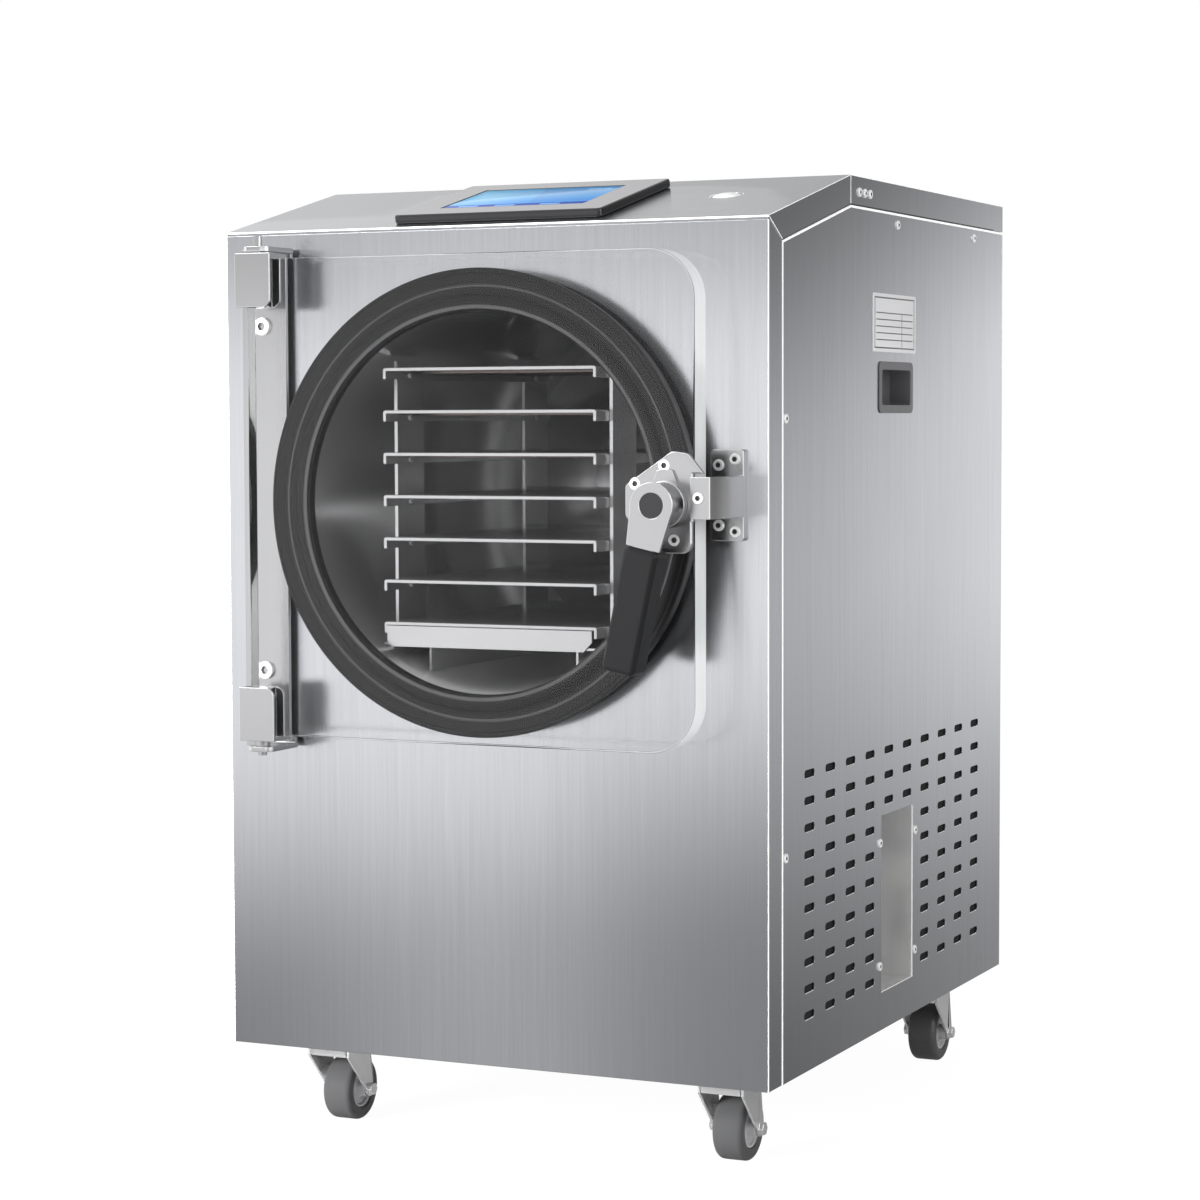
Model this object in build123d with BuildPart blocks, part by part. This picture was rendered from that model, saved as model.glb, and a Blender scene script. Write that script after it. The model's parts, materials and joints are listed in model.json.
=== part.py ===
from build123d import *
import os
from math import atan2, cos, floor, radians, sin, sqrt, tan

os.makedirs("parts", exist_ok=True)

# ---------------------------------------------------------------- driving dimensions (mm)
# X runs to the right, Y from front to back, Z up. The floor under the wheels is Z = 0.

# cabinet
cabinet_width = 520
cabinet_depth = 649
front_height = 730          # cabinet bottom to the front edge of the hood
top_height = 777            # cabinet bottom to the level top
hood_run = 197              # depth of the sloping part of the hood
skirt = 26                  # height of the hood's side skirts
corner_return = 30          # side return of the front panel
edge_return = 15            # inner return of the other panels
sheet = 1.5                 # panel sheet
pan_sheet = 2
seam = 0.6                  # open joint between neighbouring sheets
fit = 0.3                   # clearance between pieces that move apart
running = 0.05              # radial clearance of a shaft or pin

# casters
caster_height = 84
wheel_diameter = 58
wheel_width = 28
wheel_round = 7             # shoulders of the tread
wheel_recess = 4            # hollow in each side of the wheel
caster_trail = 20
front_caster_x = 194
rear_caster_x = 216
front_caster_y = 75
rear_caster_y = 535

# vacuum chamber
chamber_x = 8
chamber_height = 491.5      # axis above the cabinet bottom
chamber_radius = 165        # inside
chamber_length = 400
chamber_wall = 3
flange_width = 27           # flange beyond the inside of the drum
flange_thickness = 6
gasket_reach = 29.7         # gasket face ahead of the front panel
gasket_width = 35           # gasket beyond the inside of the drum
gasket_lip = 1.5            # its lip reaches this far inwards
insulation_thickness = 27
coil_tube = 8
coil_turns = 7

# shelf rack
shelf_count = 7
post_top_clearance = 42.4   # posts' tops below the drum's crown
post_side_clearance = 3.4   # posts' corners inside the drum
shelf_rise = 6.2            # middle shelf above the drum's axis
shelf_play = 0.2            # between a shelf and a post
shelf_length = 330
shelf_thickness = 3
shelf_flange = 10
rack_recess = 6             # shelf front edge ahead of the front panel's face
post_setback = 27
post_depth = 49
post_spacing = 254
post_sheet = 3
rack_sheet = 2
apron_inset = 7.2           # apron's end inside the posts' outer faces
apron_height = 18
apron_cut = 8
foot_half = 72

# door
door_left = -207
door_right = 216.5
door_bottom = 287
door_height = 416
door_thickness = 24
door_corner = 42
hinge_x = -202.5
hinge_pin_diameter = 8
clip_width = 35
clip_height = 42
clip_leaf = 3
clip_cap = 5
tab_thickness = 4.5
tab_width = 25
hinge_screw_x = -211

# latch
hub_x = 193
hub_height = 493
hub_radius = 19
latch_plate_thickness = 5
cam_thickness = 2.9
cam_reach = 30
handle_plate_thickness = 3.5
handle_plate_standoff = 36   # front of the handle plate ahead of the door
handle_lean = 12.2          # degrees from vertical
grip_start = 36
grip_length = 104
grip_width = 30
grip_depth = 25
grip_standoff = 40          # front of the grip ahead of the door
keeper_left = 210.6
keeper_right = 240
keeper_height = 76
keeper_thickness = 6
strap_height = 34.5
strap_thickness = 4.5
lip_left = 217.5
lip_screw_inset = 7.5
lip_setback = 5
strap_centre = 498.6

# controls on the sloping hood
display_x = 2
display_centre = 93         # up the slope
display_width = 200
display_depth = 156
display_proud = 8
screen_width = 137
screen_depth = 92
button_x = 178
button_centre = 112
button_radius = 12.5
button_travel = 3

# side openings, measured back from the front panel and up from the cabinet bottom
slot_length = 25
slot_height = 7.3
slot_columns = 10
slot_rows = 10
slot_pitch_y = 51.7
slot_pitch_z = 23.3
slot_first_y = 95.8
slot_first_z = 258.2
pocket_y = 327
pocket_z = 117
pocket_width = 89
pocket_height = 164
pocket_depth = 60
pull_y = 318
pull_z = 591
pull_width = 94
pull_height = 47
pull_border = 7.5
pull_depth = 22
label_y = 314
label_z = 649.5
label_width = 120
label_height = 53
screw_head = 1.6
rear_reach = 2.4            # power inlet flange behind the rear panel

# ---------------------------------------------------------------- places worked out from them
door_rear = gasket_reach + fit
door_face = door_rear + door_thickness
cam_back = door_face + latch_plate_thickness + fit
cam_front = cam_back + cam_thickness
strap_reach = cam_front + fit + strap_thickness
handle_plate_reach = door_face + handle_plate_standoff
grip_reach = door_face + grip_standoff
front_y = (grip_reach - cabinet_depth - rear_reach) / 2
rear_y = front_y + cabinet_depth
base_z = caster_height
half_width = cabinet_width / 2
front_top = base_z + front_height
top_z = base_z + top_height
apex_y = front_y + hood_run
slope = atan2(top_height - front_height, hood_run)
nose = sheet / cos(slope)                       # the hood sheet, measured upright
skirt_corner = front_top + corner_return * tan(slope) - skirt
chamber_z = base_z + chamber_height
hub_z = base_z + hub_height
strap_z = base_z + strap_centre
inner_half = half_width - sheet
flange_radius = chamber_radius + flange_width
gasket_radius = chamber_radius + gasket_width
gasket_lip_radius = chamber_radius - gasket_lip
post_overrun = 6            # posts above the top shelf
post_rise = chamber_radius - post_top_clearance
shelf_pitch = 2 * (post_rise - post_overrun - shelf_rise) / (shelf_count - 1)
leg_reach = sqrt((chamber_radius - post_side_clearance) ** 2 - post_rise**2)
shelf_width = 2 * floor(leg_reach - post_sheet - shelf_play)


def ahead(distance):
    """Upright plane that faces the front, this far ahead of the front panel."""
    return Plane.XZ.offset(distance - front_y)


def beside(x):
    """Upright plane across the width, with Y and Z as its own axes."""
    return Plane.YZ.offset(x)


def level(z):
    return Plane.XY.offset(z)


def on_slope(up=0):
    """Plane on the hood's slope: X across, Y up the slope from the front edge."""
    origin = (0, front_y - up * sin(slope), front_top + up * cos(slope))
    return Plane(origin=origin, x_dir=(1, 0, 0), z_dir=(0, -sin(slope), cos(slope)))


def block(x, y, z, mode=Mode.ADD):
    """A box between two limits on each axis."""
    with Locations(((x[0] + x[1]) / 2, (y[0] + y[1]) / 2, (z[0] + z[1]) / 2)):
        Box(x[1] - x[0], y[1] - y[0], z[1] - z[0], mode=mode)


def outline(*points):
    """A closed face through these points of the current sketch."""
    with BuildLine() as border:
        Polyline(*points, close=True)
    make_face(border.edges())


def finish(piece, name):
    piece.part.label = name
    export_step(piece.part, f"parts/{name}.step")


def round_screw(head_radius, head_height, shank_radius, shank_length):
    """Button-head socket screw along +Z with its seat at the origin."""
    with BuildPart(Plane.XY, mode=Mode.PRIVATE) as screw:
        with BuildSketch():
            Circle(head_radius)
        extrude(amount=head_height)
        fillet(screw.faces().sort_by(Axis.Z)[-1].edges(), head_height * 0.6)
        with BuildSketch(Plane.XY.offset(head_height)):
            RegularPolygon(head_radius * 0.42, 6)
        extrude(amount=-head_height * 0.6, mode=Mode.SUBTRACT)
        with BuildSketch():
            Circle(shank_radius)
        extrude(amount=-shank_length)
    return screw.part


# ---------------------------------------------------------------- places of screws and slots
slot_places = []
pocket_gap = slot_height / 2 + 8
for column in range(slot_columns):
    for row in range(slot_rows):
        slot_y = slot_first_y + column * slot_pitch_y
        slot_z = slot_first_z - row * slot_pitch_z
        slot_places.append((front_y + slot_y, base_z + slot_z))
pocket_reach_y = pocket_width / 2 + slot_length / 2
pocket_reach_z = pocket_height / 2 + pocket_gap
right_slots = [
    place
    for place in slot_places
    if abs(place[0] - front_y - pocket_y) > pocket_reach_y
    or abs(place[1] - base_z - pocket_z) > pocket_reach_z
]

side_screws = [
    (front_y + 323, base_z + 740),
    (front_y + 552, base_z + 740),
    (front_y + 38, base_z + 563),
    (front_y + 38, base_z + 192.5),
]
skirt_screws = [(front_y + y, top_z - skirt / 2 - 1) for y in (219, 233, 247)]
pocket_screws = [
    (front_y + pocket_y + y, base_z + pocket_z + z)
    for y in (-pocket_width / 2 - 5, pocket_width / 2 + 5)
    for z in (-57, 57)
]
rear_screws = [(x, base_z + z) for x in (-235, 235) for z in (40, 370, 700)]
panel_screw_shank = 1.6
panel_screw_head = 3.6
panel_screw_length = 6
hinge_screws = [(hinge_screw_x, base_z + 341.5), (hinge_screw_x, base_z + 645.5)]
keeper_base_z = base_z + 499.6
keeper_screws_xz = [
    (keeper_left + 7.2, keeper_base_z + 25),
    (keeper_right - 7.5, keeper_base_z + 30),
    (keeper_left + 7.2, keeper_base_z - 25),
    (keeper_right - 7.5, keeper_base_z - 30),
]
fixing_shank = 2.5
fixing_hole = fixing_shank + 0.1

# ---------------------------------------------------------------- cabinet sheets
drum_hole = chamber_radius + chamber_wall + 1
with BuildPart() as front_panel:
    face_top = front_top - nose - seam - 1
    with BuildSketch(ahead(-sheet)):
        with Locations((0, (base_z + face_top) / 2)):
            Rectangle(cabinet_width, face_top - base_z)
        with Locations((chamber_x, chamber_z)):
            Circle(drum_hole, mode=Mode.SUBTRACT)
        with Locations(*hinge_screws, *keeper_screws_xz):
            Circle(fixing_hole, mode=Mode.SUBTRACT)
    extrude(amount=sheet)
    for side in (-1, 1):
        with BuildSketch(beside(side * half_width)):
            outline(
                (front_y, base_z),
                (front_y + corner_return, base_z),
                (front_y + corner_return, skirt_corner - seam),
                (front_y + sheet, face_top),
                (front_y, face_top),
            )
        extrude(amount=-side * sheet)
    block(
        (-half_width, half_width),
        (front_y, front_y + edge_return),
        (base_z + pan_sheet, base_z + pan_sheet + sheet),
    )
finish(front_panel, "front_panel")

side_start = front_y + corner_return + seam
side_end = rear_y - sheet - fit
side_top_front = skirt_corner + seam * tan(slope) - seam
side_top = top_z - skirt - seam
pull_hole_width = pull_width - 2 * pull_border + 5
pull_hole_height = pull_height - 2 * pull_border + 5
for side, side_name, slots in ((1, "right", right_slots), (-1, "left", slot_places)):
    with BuildPart() as side_panel:
        with BuildSketch(beside(side * half_width)):
            outline(
                (side_start, base_z),
                (side_end, base_z),
                (side_end, side_top),
                (apex_y, side_top),
                (side_start, side_top_front),
            )
            with Locations(*slots):
                SlotOverall(slot_length, slot_height, mode=Mode.SUBTRACT)
            with Locations((front_y + pull_y, base_z + pull_z)):
                Rectangle(pull_hole_width, pull_hole_height, mode=Mode.SUBTRACT)
            with Locations(*side_screws):
                Circle(panel_screw_shank + 0.1, mode=Mode.SUBTRACT)
            if side > 0:
                with Locations((front_y + pocket_y, base_z + pocket_z)):
                    Rectangle(pocket_width, pocket_height, mode=Mode.SUBTRACT)
                with Locations(*pocket_screws):
                    Circle(panel_screw_shank + 0.1, mode=Mode.SUBTRACT)
        extrude(amount=-side * sheet)
        inward = sorted((side * half_width, side * (half_width - edge_return)))
        block(inward, (side_start, side_start + sheet), (base_z + pan_sheet, side_top_front - 2))
        block(inward, (side_end - sheet, side_end), (base_z + pan_sheet, side_top))
        block(
            inward,
            (side_start, side_end),
            (base_z + pan_sheet, base_z + pan_sheet + sheet),
        )
    finish(side_panel, f"side_panel_{side_name}")

display_hole = (display_width - 18, display_depth - 20)
button_neck = button_radius + fit + 1.5
with BuildPart() as hood:
    with BuildSketch(beside(-half_width)):
        outline(
            (front_y, front_top),
            (front_y, front_top - nose),
            (front_y + corner_return, skirt_corner),
            (apex_y, top_z - skirt),
            (rear_y, top_z - skirt),
            (rear_y, top_z),
            (apex_y, top_z),
        )
    extrude(amount=cabinet_width)
    with BuildSketch(beside(-inner_half)):
        outline(
            (front_y, front_top - nose),
            (apex_y, top_z - sheet),
            (rear_y - sheet, top_z - sheet),
            (rear_y - sheet, base_z),
            (front_y, base_z),
        )
    extrude(amount=2 * inner_half, mode=Mode.SUBTRACT)
    lip_top = front_top - nose + 2 * sheet * tan(slope)
    block(
        (-inner_half, inner_half),
        (front_y + sheet + fit, front_y + 2 * sheet + fit),
        (front_top - edge_return, lip_top),
    )
    with BuildSketch(on_slope(sheet)):
        with Locations((display_x, display_centre)):
            Rectangle(*display_hole)
        with Locations((button_x, button_centre)):
            Circle(button_neck + 0.2)
    extrude(amount=-3 * sheet, mode=Mode.SUBTRACT)
    with BuildSketch(beside(half_width)):
        with Locations(*skirt_screws):
            Circle(panel_screw_shank + 0.1)
    extrude(amount=-sheet, mode=Mode.SUBTRACT)
finish(hood, "hood")

inlet_x = -150
inlet_z = base_z + 90
inlet_width = 48
inlet_height = 28
grille_x = 120
grille_z = base_z + 160
with BuildPart() as rear_panel:
    with BuildSketch(Plane.XZ.offset(-rear_y)):
        with Locations((0, (base_z + side_top) / 2)):
            Rectangle(cabinet_width, side_top - base_z)
        with Locations((inlet_x, inlet_z)):
            Rectangle(inlet_width - 8, inlet_height - 6, mode=Mode.SUBTRACT)
        with Locations(*rear_screws):
            Circle(panel_screw_shank + 0.1, mode=Mode.SUBTRACT)
        with Locations((grille_x, grille_z)):
            with GridLocations(34, 16, 6, 12):
                SlotOverall(slot_length, slot_height, mode=Mode.SUBTRACT)
    extrude(amount=sheet)
finish(rear_panel, "rear_panel")

pan_x = inner_half - fit
pan_front = front_y + sheet + fit
pan_rear = rear_y - sheet - fit
caster_places = {
    "front_right": (front_caster_x, front_y + front_caster_y),
    "front_left": (-front_caster_x, front_y + front_caster_y),
    "rear_right": (rear_caster_x, front_y + rear_caster_y),
    "rear_left": (-rear_caster_x, front_y + rear_caster_y),
}
plate_width = 46
plate_length = 58
plate_bolts = [(x, y) for x in (-16, 16) for y in (-23, 23)]
pocket_wall = 1.2
pocket_back = inner_half - pocket_depth
barb_x = pocket_back + pocket_wall + 10
valve_y = front_y + pocket_y - 12
valve_z = base_z + 72
drain_hole = 9
with BuildPart() as base_pan:
    block((-pan_x, pan_x), (pan_front, pan_rear), (base_z, base_z + pan_sheet))
    with BuildSketch(level(base_z)):
        with Locations((barb_x, valve_y)):
            Circle(drain_hole + 3)
    extrude(amount=pan_sheet, mode=Mode.SUBTRACT)
    rim_x = half_width - edge_return - fit
    rim_top = base_z + 25
    for side in (-1, 1):
        rim = sorted((side * rim_x, side * (rim_x - pan_sheet)))
        block(rim, (pan_front + edge_return, pan_rear - edge_return), (base_z, rim_top))
    for rim_y in (pan_front + edge_return, pan_rear - edge_return - pan_sheet):
        block((-rim_x, rim_x), (rim_y, rim_y + pan_sheet), (base_z, rim_top))
finish(base_pan, "base_pan")

# ---------------------------------------------------------------- vacuum chamber
chamber_axis = Axis((chamber_x, 0, chamber_z), (0, 1, 0))
flange_front = front_y - 18
drum_back = front_y + chamber_length
outer_radius = chamber_radius + chamber_wall
dish_radius = 1.25 * chamber_radius
dish_depth = dish_radius - sqrt(dish_radius**2 - chamber_radius**2)
vacuum_line_radius = 12.7
vacuum_line_y = front_y + pocket_y
port_z = base_z + 155
with BuildPart() as vacuum_chamber:
    with BuildSketch(beside(chamber_x)):
        with BuildLine():
            rim = (flange_front, chamber_z + chamber_radius)
            inner_end = (drum_back, chamber_z + chamber_radius)
            inner_pole = (drum_back + dish_depth, chamber_z)
            outer_pole = (drum_back + dish_depth + chamber_wall, chamber_z)
            outer_end = (drum_back, chamber_z + outer_radius)
            Line(rim, inner_end)
            RadiusArc(inner_end, inner_pole, dish_radius)
            Line(inner_pole, outer_pole)
            RadiusArc(outer_pole, outer_end, -dish_radius - chamber_wall)
            Polyline(
                outer_end,
                (flange_front + flange_thickness, chamber_z + outer_radius),
                (flange_front + flange_thickness, chamber_z + flange_radius),
                (flange_front, chamber_z + flange_radius),
                rim,
            )
        make_face()
    revolve(axis=chamber_axis)
    with BuildSketch(level(chamber_z)):
        with Locations((chamber_x, vacuum_line_y)):
            Circle(vacuum_line_radius - 1.5)
    extrude(amount=-outer_radius - 1, mode=Mode.SUBTRACT)
finish(vacuum_chamber, "vacuum_chamber")

coil_radius = outer_radius + fit + coil_tube / 2
coil_front = front_y + 40
coil_back = vacuum_line_y - vacuum_line_radius - coil_tube
coil_run = coil_back - coil_front
with BuildPart() as evaporator_coil:
    with BuildLine():
        winding = Helix(
            pitch=coil_run / coil_turns,
            height=coil_run,
            radius=coil_radius,
            center=(chamber_x, coil_front, chamber_z),
            direction=(0, 1, 0),
        )
    with BuildSketch(Plane(origin=winding @ 0, z_dir=winding % 0)):
        Circle(coil_tube / 2)
    sweep(is_frenet=True)
finish(evaporator_coil, "evaporator_coil")

foam_inner = coil_radius + coil_tube / 2 + fit
foam_outer = foam_inner + insulation_thickness
foam_front = front_y + 2 * sheet + 2
foam_back = drum_back - 1
with BuildPart() as chamber_insulation:
    with BuildSketch(Plane.XZ.offset(-foam_front)):
        with Locations((chamber_x, chamber_z)):
            Circle(foam_outer)
            Circle(foam_inner, mode=Mode.SUBTRACT)
    extrude(amount=-(foam_back - foam_front))
    with BuildSketch(Plane.XZ.offset(-foam_front)):
        with Locations((chamber_x, chamber_z)):
            Circle(foam_inner + 1)
            Circle(outer_radius + fit, mode=Mode.SUBTRACT)
    extrude(amount=-(coil_front - coil_tube - foam_front))
    with BuildSketch(level(chamber_z)):
        with Locations((chamber_x, vacuum_line_y)):
            Circle(vacuum_line_radius + fit)
    extrude(amount=-foam_outer - 1, mode=Mode.SUBTRACT)
finish(chamber_insulation, "chamber_insulation")

# gasket: a rubber ring clipped over the chamber's flange, with a sealing lip in front
gasket_front = front_y - gasket_reach
land_radius = chamber_radius + 11
bead_radius = chamber_radius + 21
groove_depth = 2.5
groove_slope = 2
with BuildPart() as door_gasket:
    with BuildSketch(beside(chamber_x)):
        outline(
            (gasket_front + 3, chamber_z + gasket_lip_radius),
            (gasket_front, chamber_z + gasket_lip_radius + 3.5),
            (gasket_front, chamber_z + land_radius),
            (gasket_front + groove_depth, chamber_z + land_radius + groove_slope),
            (gasket_front + groove_depth, chamber_z + bead_radius - groove_slope),
            (gasket_front, chamber_z + bead_radius),
            (gasket_front, chamber_z + gasket_radius - 1),
            (gasket_front + 2, chamber_z + gasket_radius),
            (front_y - 8, chamber_z + gasket_radius - 4),
            (front_y - 8, chamber_z + gasket_radius - 14),
            (flange_front + flange_thickness + fit, chamber_z + gasket_radius - 14),
            (flange_front + flange_thickness + fit, chamber_z + flange_radius + fit),
            (flange_front - fit, chamber_z + flange_radius + fit),
            (flange_front - fit, chamber_z + gasket_lip_radius),
        )
    revolve(axis=chamber_axis)
finish(door_gasket, "door_gasket")

# ---------------------------------------------------------------- shelf rack
shelf_front = front_y - rack_recess
rack_post_y = shelf_front + post_setback
shelf_tops = [
    chamber_z + (shelf_count - 1 - 2 * number) * shelf_pitch / 2 + shelf_rise
    for number in range(shelf_count)
]
leg_inner = shelf_width / 2 + shelf_play
leg_outer = leg_inner + post_sheet
apron_half = leg_outer - apron_inset
rack_floor = shelf_tops[-1] - shelf_flange - 8
shelf_screw_drop = 6.5
shelf_screw_inset = 17
screw_y = [rack_post_y + shelf_screw_inset, rack_post_y + post_spacing + shelf_screw_inset]
for number, shelf_top in enumerate(shelf_tops, start=1):
    with BuildPart() as shelf:
        block(
            (chamber_x - shelf_width / 2, chamber_x + shelf_width / 2),
            (shelf_front, shelf_front + shelf_length),
            (shelf_top - shelf_flange, shelf_top),
        )
        fillet(shelf.edges().filter_by(Axis.Y).group_by(Axis.Z)[-1], shelf_thickness * 0.8)
        block(
            (
                chamber_x - shelf_width / 2 + shelf_thickness,
                chamber_x + shelf_width / 2 - shelf_thickness,
            ),
            (shelf_front - 1, shelf_front + shelf_length + 1),
            (shelf_top - shelf_flange - 1, shelf_top - shelf_thickness),
            Mode.SUBTRACT,
        )
        with BuildSketch(beside(chamber_x - shelf_width / 2 - 1)):
            with Locations(*[(y, shelf_top - shelf_screw_drop) for y in screw_y]):
                Circle(1.1)
        extrude(amount=shelf_width + 2, mode=Mode.SUBTRACT)
    finish(shelf, f"shelf_{number}")

rack_back = rack_post_y + post_spacing + post_depth
rack_underside = rack_floor - rack_sheet
with BuildPart() as rack_frame:
    for side in (-1, 1):
        post = sorted((chamber_x + side * leg_inner, chamber_x + side * leg_outer))
        for post_y in (rack_post_y, rack_post_y + post_spacing):
            block(post, (post_y, post_y + post_depth), (rack_underside, shelf_tops[0] + post_overrun))
    block(
        (chamber_x - leg_inner, chamber_x + leg_inner),
        (shelf_front, rack_back),
        (rack_underside, rack_floor),
    )
    apron_top = shelf_tops[-1] - shelf_thickness - fit
    apron_bottom = apron_top - apron_height
    with BuildSketch(ahead(rack_recess)):
        outline(
            (chamber_x - apron_half, apron_top),
            (chamber_x + apron_half, apron_top),
            (chamber_x + apron_half, apron_bottom + apron_cut),
            (chamber_x + apron_half - apron_cut, apron_bottom),
            (chamber_x - apron_half + apron_cut / 2, apron_bottom),
            (chamber_x - apron_half, apron_bottom + apron_cut / 2),
        )
    extrude(amount=rack_sheet)
    foot_bottom = chamber_z - sqrt((chamber_radius - fit) ** 2 - foot_half**2)
    for side in (-1, 1):
        foot_x = sorted(
            (chamber_x + side * (foot_half - rack_sheet), chamber_x + side * foot_half)
        )
        block(foot_x, (rack_post_y, rack_back), (foot_bottom, rack_underside))
    with BuildSketch(beside(chamber_x - leg_outer - 1)):
        with Locations(*[(y, z - shelf_screw_drop) for y in screw_y for z in shelf_tops]):
            Circle(1.1)
    extrude(amount=2 * leg_outer + 2, mode=Mode.SUBTRACT)
finish(rack_frame, "rack_frame")

heater_thickness = 1.5
with BuildPart() as shelf_heaters:
    for shelf_top in shelf_tops:
        block(
            (chamber_x - shelf_width / 2 + 12, chamber_x + shelf_width / 2 - 12),
            (shelf_front + 50, shelf_front + shelf_length - 80),
            (shelf_top - shelf_thickness - heater_thickness, shelf_top - shelf_thickness),
        )
finish(shelf_heaters, "shelf_heaters")

with BuildPart() as shelf_screws:
    for side in (-1, 1):
        seat = chamber_x + side * (shelf_width / 2 - shelf_thickness)
        with BuildSketch(beside(seat)):
            with Locations(*[(y, z - shelf_screw_drop) for y in screw_y for z in shelf_tops]):
                Circle(2.4)
        extrude(amount=-side * 1.4)
        with BuildSketch(beside(seat)):
            with Locations(*[(y, z - shelf_screw_drop) for y in screw_y for z in shelf_tops]):
                Circle(1)
        extrude(amount=side * (leg_outer - shelf_width / 2 + shelf_thickness))
finish(shelf_screws, "shelf_screws")

# ---------------------------------------------------------------- hinge on the cabinet
bar_left = -238
bar_right = -188
bar_reach = 10
bar_sheet = 4
hinge_y = front_y - door_rear - door_thickness / 2
door_low = base_z + door_bottom
door_top = door_low + door_height
clip_top = door_top + clip_cap
clip_bottom = door_low - clip_cap
tab_gap = 1.5
bushing = 5
upper_tab = clip_top + tab_gap
lower_tab = clip_bottom - bushing - fit
bar_bottom = lower_tab - tab_thickness
bar_top = upper_tab + tab_thickness
pin_radius = hinge_pin_diameter / 2
tab_shift = 2.5
tab_corner = 8
boss_radius = 7
tab_x = (hinge_x + tab_shift - tab_width / 2, hinge_x + tab_shift + tab_width / 2)
with BuildPart() as hinge_bar:
    with BuildSketch(ahead(bar_reach - bar_sheet)):
        with Locations(((bar_left + bar_right) / 2, (bar_bottom + bar_top) / 2)):
            Rectangle(bar_right - bar_left, bar_top - bar_bottom)
        with Locations((chamber_x, chamber_z)):
            Circle(gasket_radius + 10, mode=Mode.SUBTRACT)
        with Locations(*hinge_screws):
            Circle(fixing_hole, mode=Mode.SUBTRACT)
    extrude(amount=bar_sheet)
    block(
        (bar_left, bar_left + bar_sheet),
        (front_y - bar_reach, front_y),
        (bar_bottom, bar_top),
    )
    for screw_x, screw_z in hinge_screws:
        with BuildSketch(ahead(0)):
            with Locations((screw_x, screw_z)):
                Circle(boss_radius)
                Circle(fixing_hole, mode=Mode.SUBTRACT)
        extrude(amount=bar_reach - bar_sheet)
    for tab_z in (bar_bottom, upper_tab):
        with BuildSketch(level(tab_z)):
            tab_back = front_y - bar_reach + bar_sheet
            with BuildLine():
                FilletPolyline(
                    (tab_x[0], tab_back),
                    (tab_x[0], front_y - door_face),
                    (tab_x[1], front_y - door_face),
                    (tab_x[1], tab_back),
                    radius=tab_corner,
                )
                Line((tab_x[1], tab_back), (tab_x[0], tab_back))
            make_face()
            with Locations((hinge_x, hinge_y)):
                Circle(pin_radius + running, mode=Mode.SUBTRACT)
        extrude(amount=tab_thickness)
finish(hinge_bar, "hinge_bar")

hinge_screw = round_screw(8, 4, fixing_shank, bar_reach + sheet + 2)
with BuildPart() as hinge_bar_screws:
    for screw_x, screw_z in hinge_screws:
        with Locations(Plane(origin=(screw_x, front_y - bar_reach, screw_z), z_dir=(0, -1, 0))):
            add(hinge_screw)
finish(hinge_bar_screws, "hinge_bar_screws")

pin_depth = 22
pin_proud = 10
pin_tail = 4
with BuildPart() as hinge_pins:
    with BuildSketch(level(clip_top - pin_depth)):
        with Locations((hinge_x, hinge_y)):
            Circle(pin_radius)
    extrude(amount=pin_depth + tab_gap + tab_thickness + pin_proud)
    with BuildSketch(level(bar_bottom - pin_tail)):
        with Locations((hinge_x, hinge_y)):
            Circle(pin_radius)
    extrude(amount=pin_tail + tab_thickness + bushing + fit + pin_depth)
    with BuildSketch(level(lower_tab)):
        with Locations((hinge_x, hinge_y)):
            Circle(pin_radius + 3)
    extrude(amount=bushing)
    chamfer(hinge_pins.edges().filter_by(GeomType.CIRCLE).group_by(Axis.Z)[-1], 1)
finish(hinge_pins, "hinge_pins")

# ---------------------------------------------------------------- keeper on the cabinet
with BuildPart() as keeper:
    with BuildSketch(ahead(0)):
        with Locations(((keeper_left + keeper_right) / 2, keeper_base_z)):
            RectangleRounded(keeper_right - keeper_left, keeper_height, 3)
    extrude(amount=keeper_thickness)
    bend = 18
    lip_right = keeper_right - lip_setback
    with BuildSketch(level(strap_z - strap_height / 2)):
        outline(
            (keeper_right, front_y),
            (keeper_right, front_y - strap_reach + bend),
            (lip_right, front_y - strap_reach),
            (lip_left, front_y - strap_reach),
            (lip_left, front_y - strap_reach + strap_thickness),
            (lip_right - 3.4, front_y - strap_reach + strap_thickness),
            (keeper_right - strap_thickness, front_y - strap_reach + bend + 0.6),
            (keeper_right - strap_thickness, front_y),
        )
    extrude(amount=strap_height)
    with BuildSketch(ahead(0)):
        with Locations(*keeper_screws_xz):
            Circle(fixing_hole)
    extrude(amount=keeper_thickness, mode=Mode.SUBTRACT)
    with BuildSketch(ahead(strap_reach)):
        with Locations((lip_left + lip_screw_inset, strap_z)):
            Circle(fixing_hole)
    extrude(amount=-strap_thickness, mode=Mode.SUBTRACT)
finish(keeper, "keeper")

keeper_screw = round_screw(4.2, 2, fixing_shank, keeper_thickness + sheet + 2)
lip_screw = round_screw(4, 2, fixing_shank, strap_thickness)
with BuildPart() as keeper_screws:
    for screw_x, screw_z in keeper_screws_xz:
        seat = (screw_x, front_y - keeper_thickness, screw_z)
        with Locations(Plane(origin=seat, z_dir=(0, -1, 0))):
            add(keeper_screw)
    seat = (lip_left + lip_screw_inset, front_y - strap_reach, strap_z)
    with Locations(Plane(origin=seat, z_dir=(0, -1, 0))):
        add(lip_screw)
finish(keeper_screws, "keeper_screws")

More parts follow.
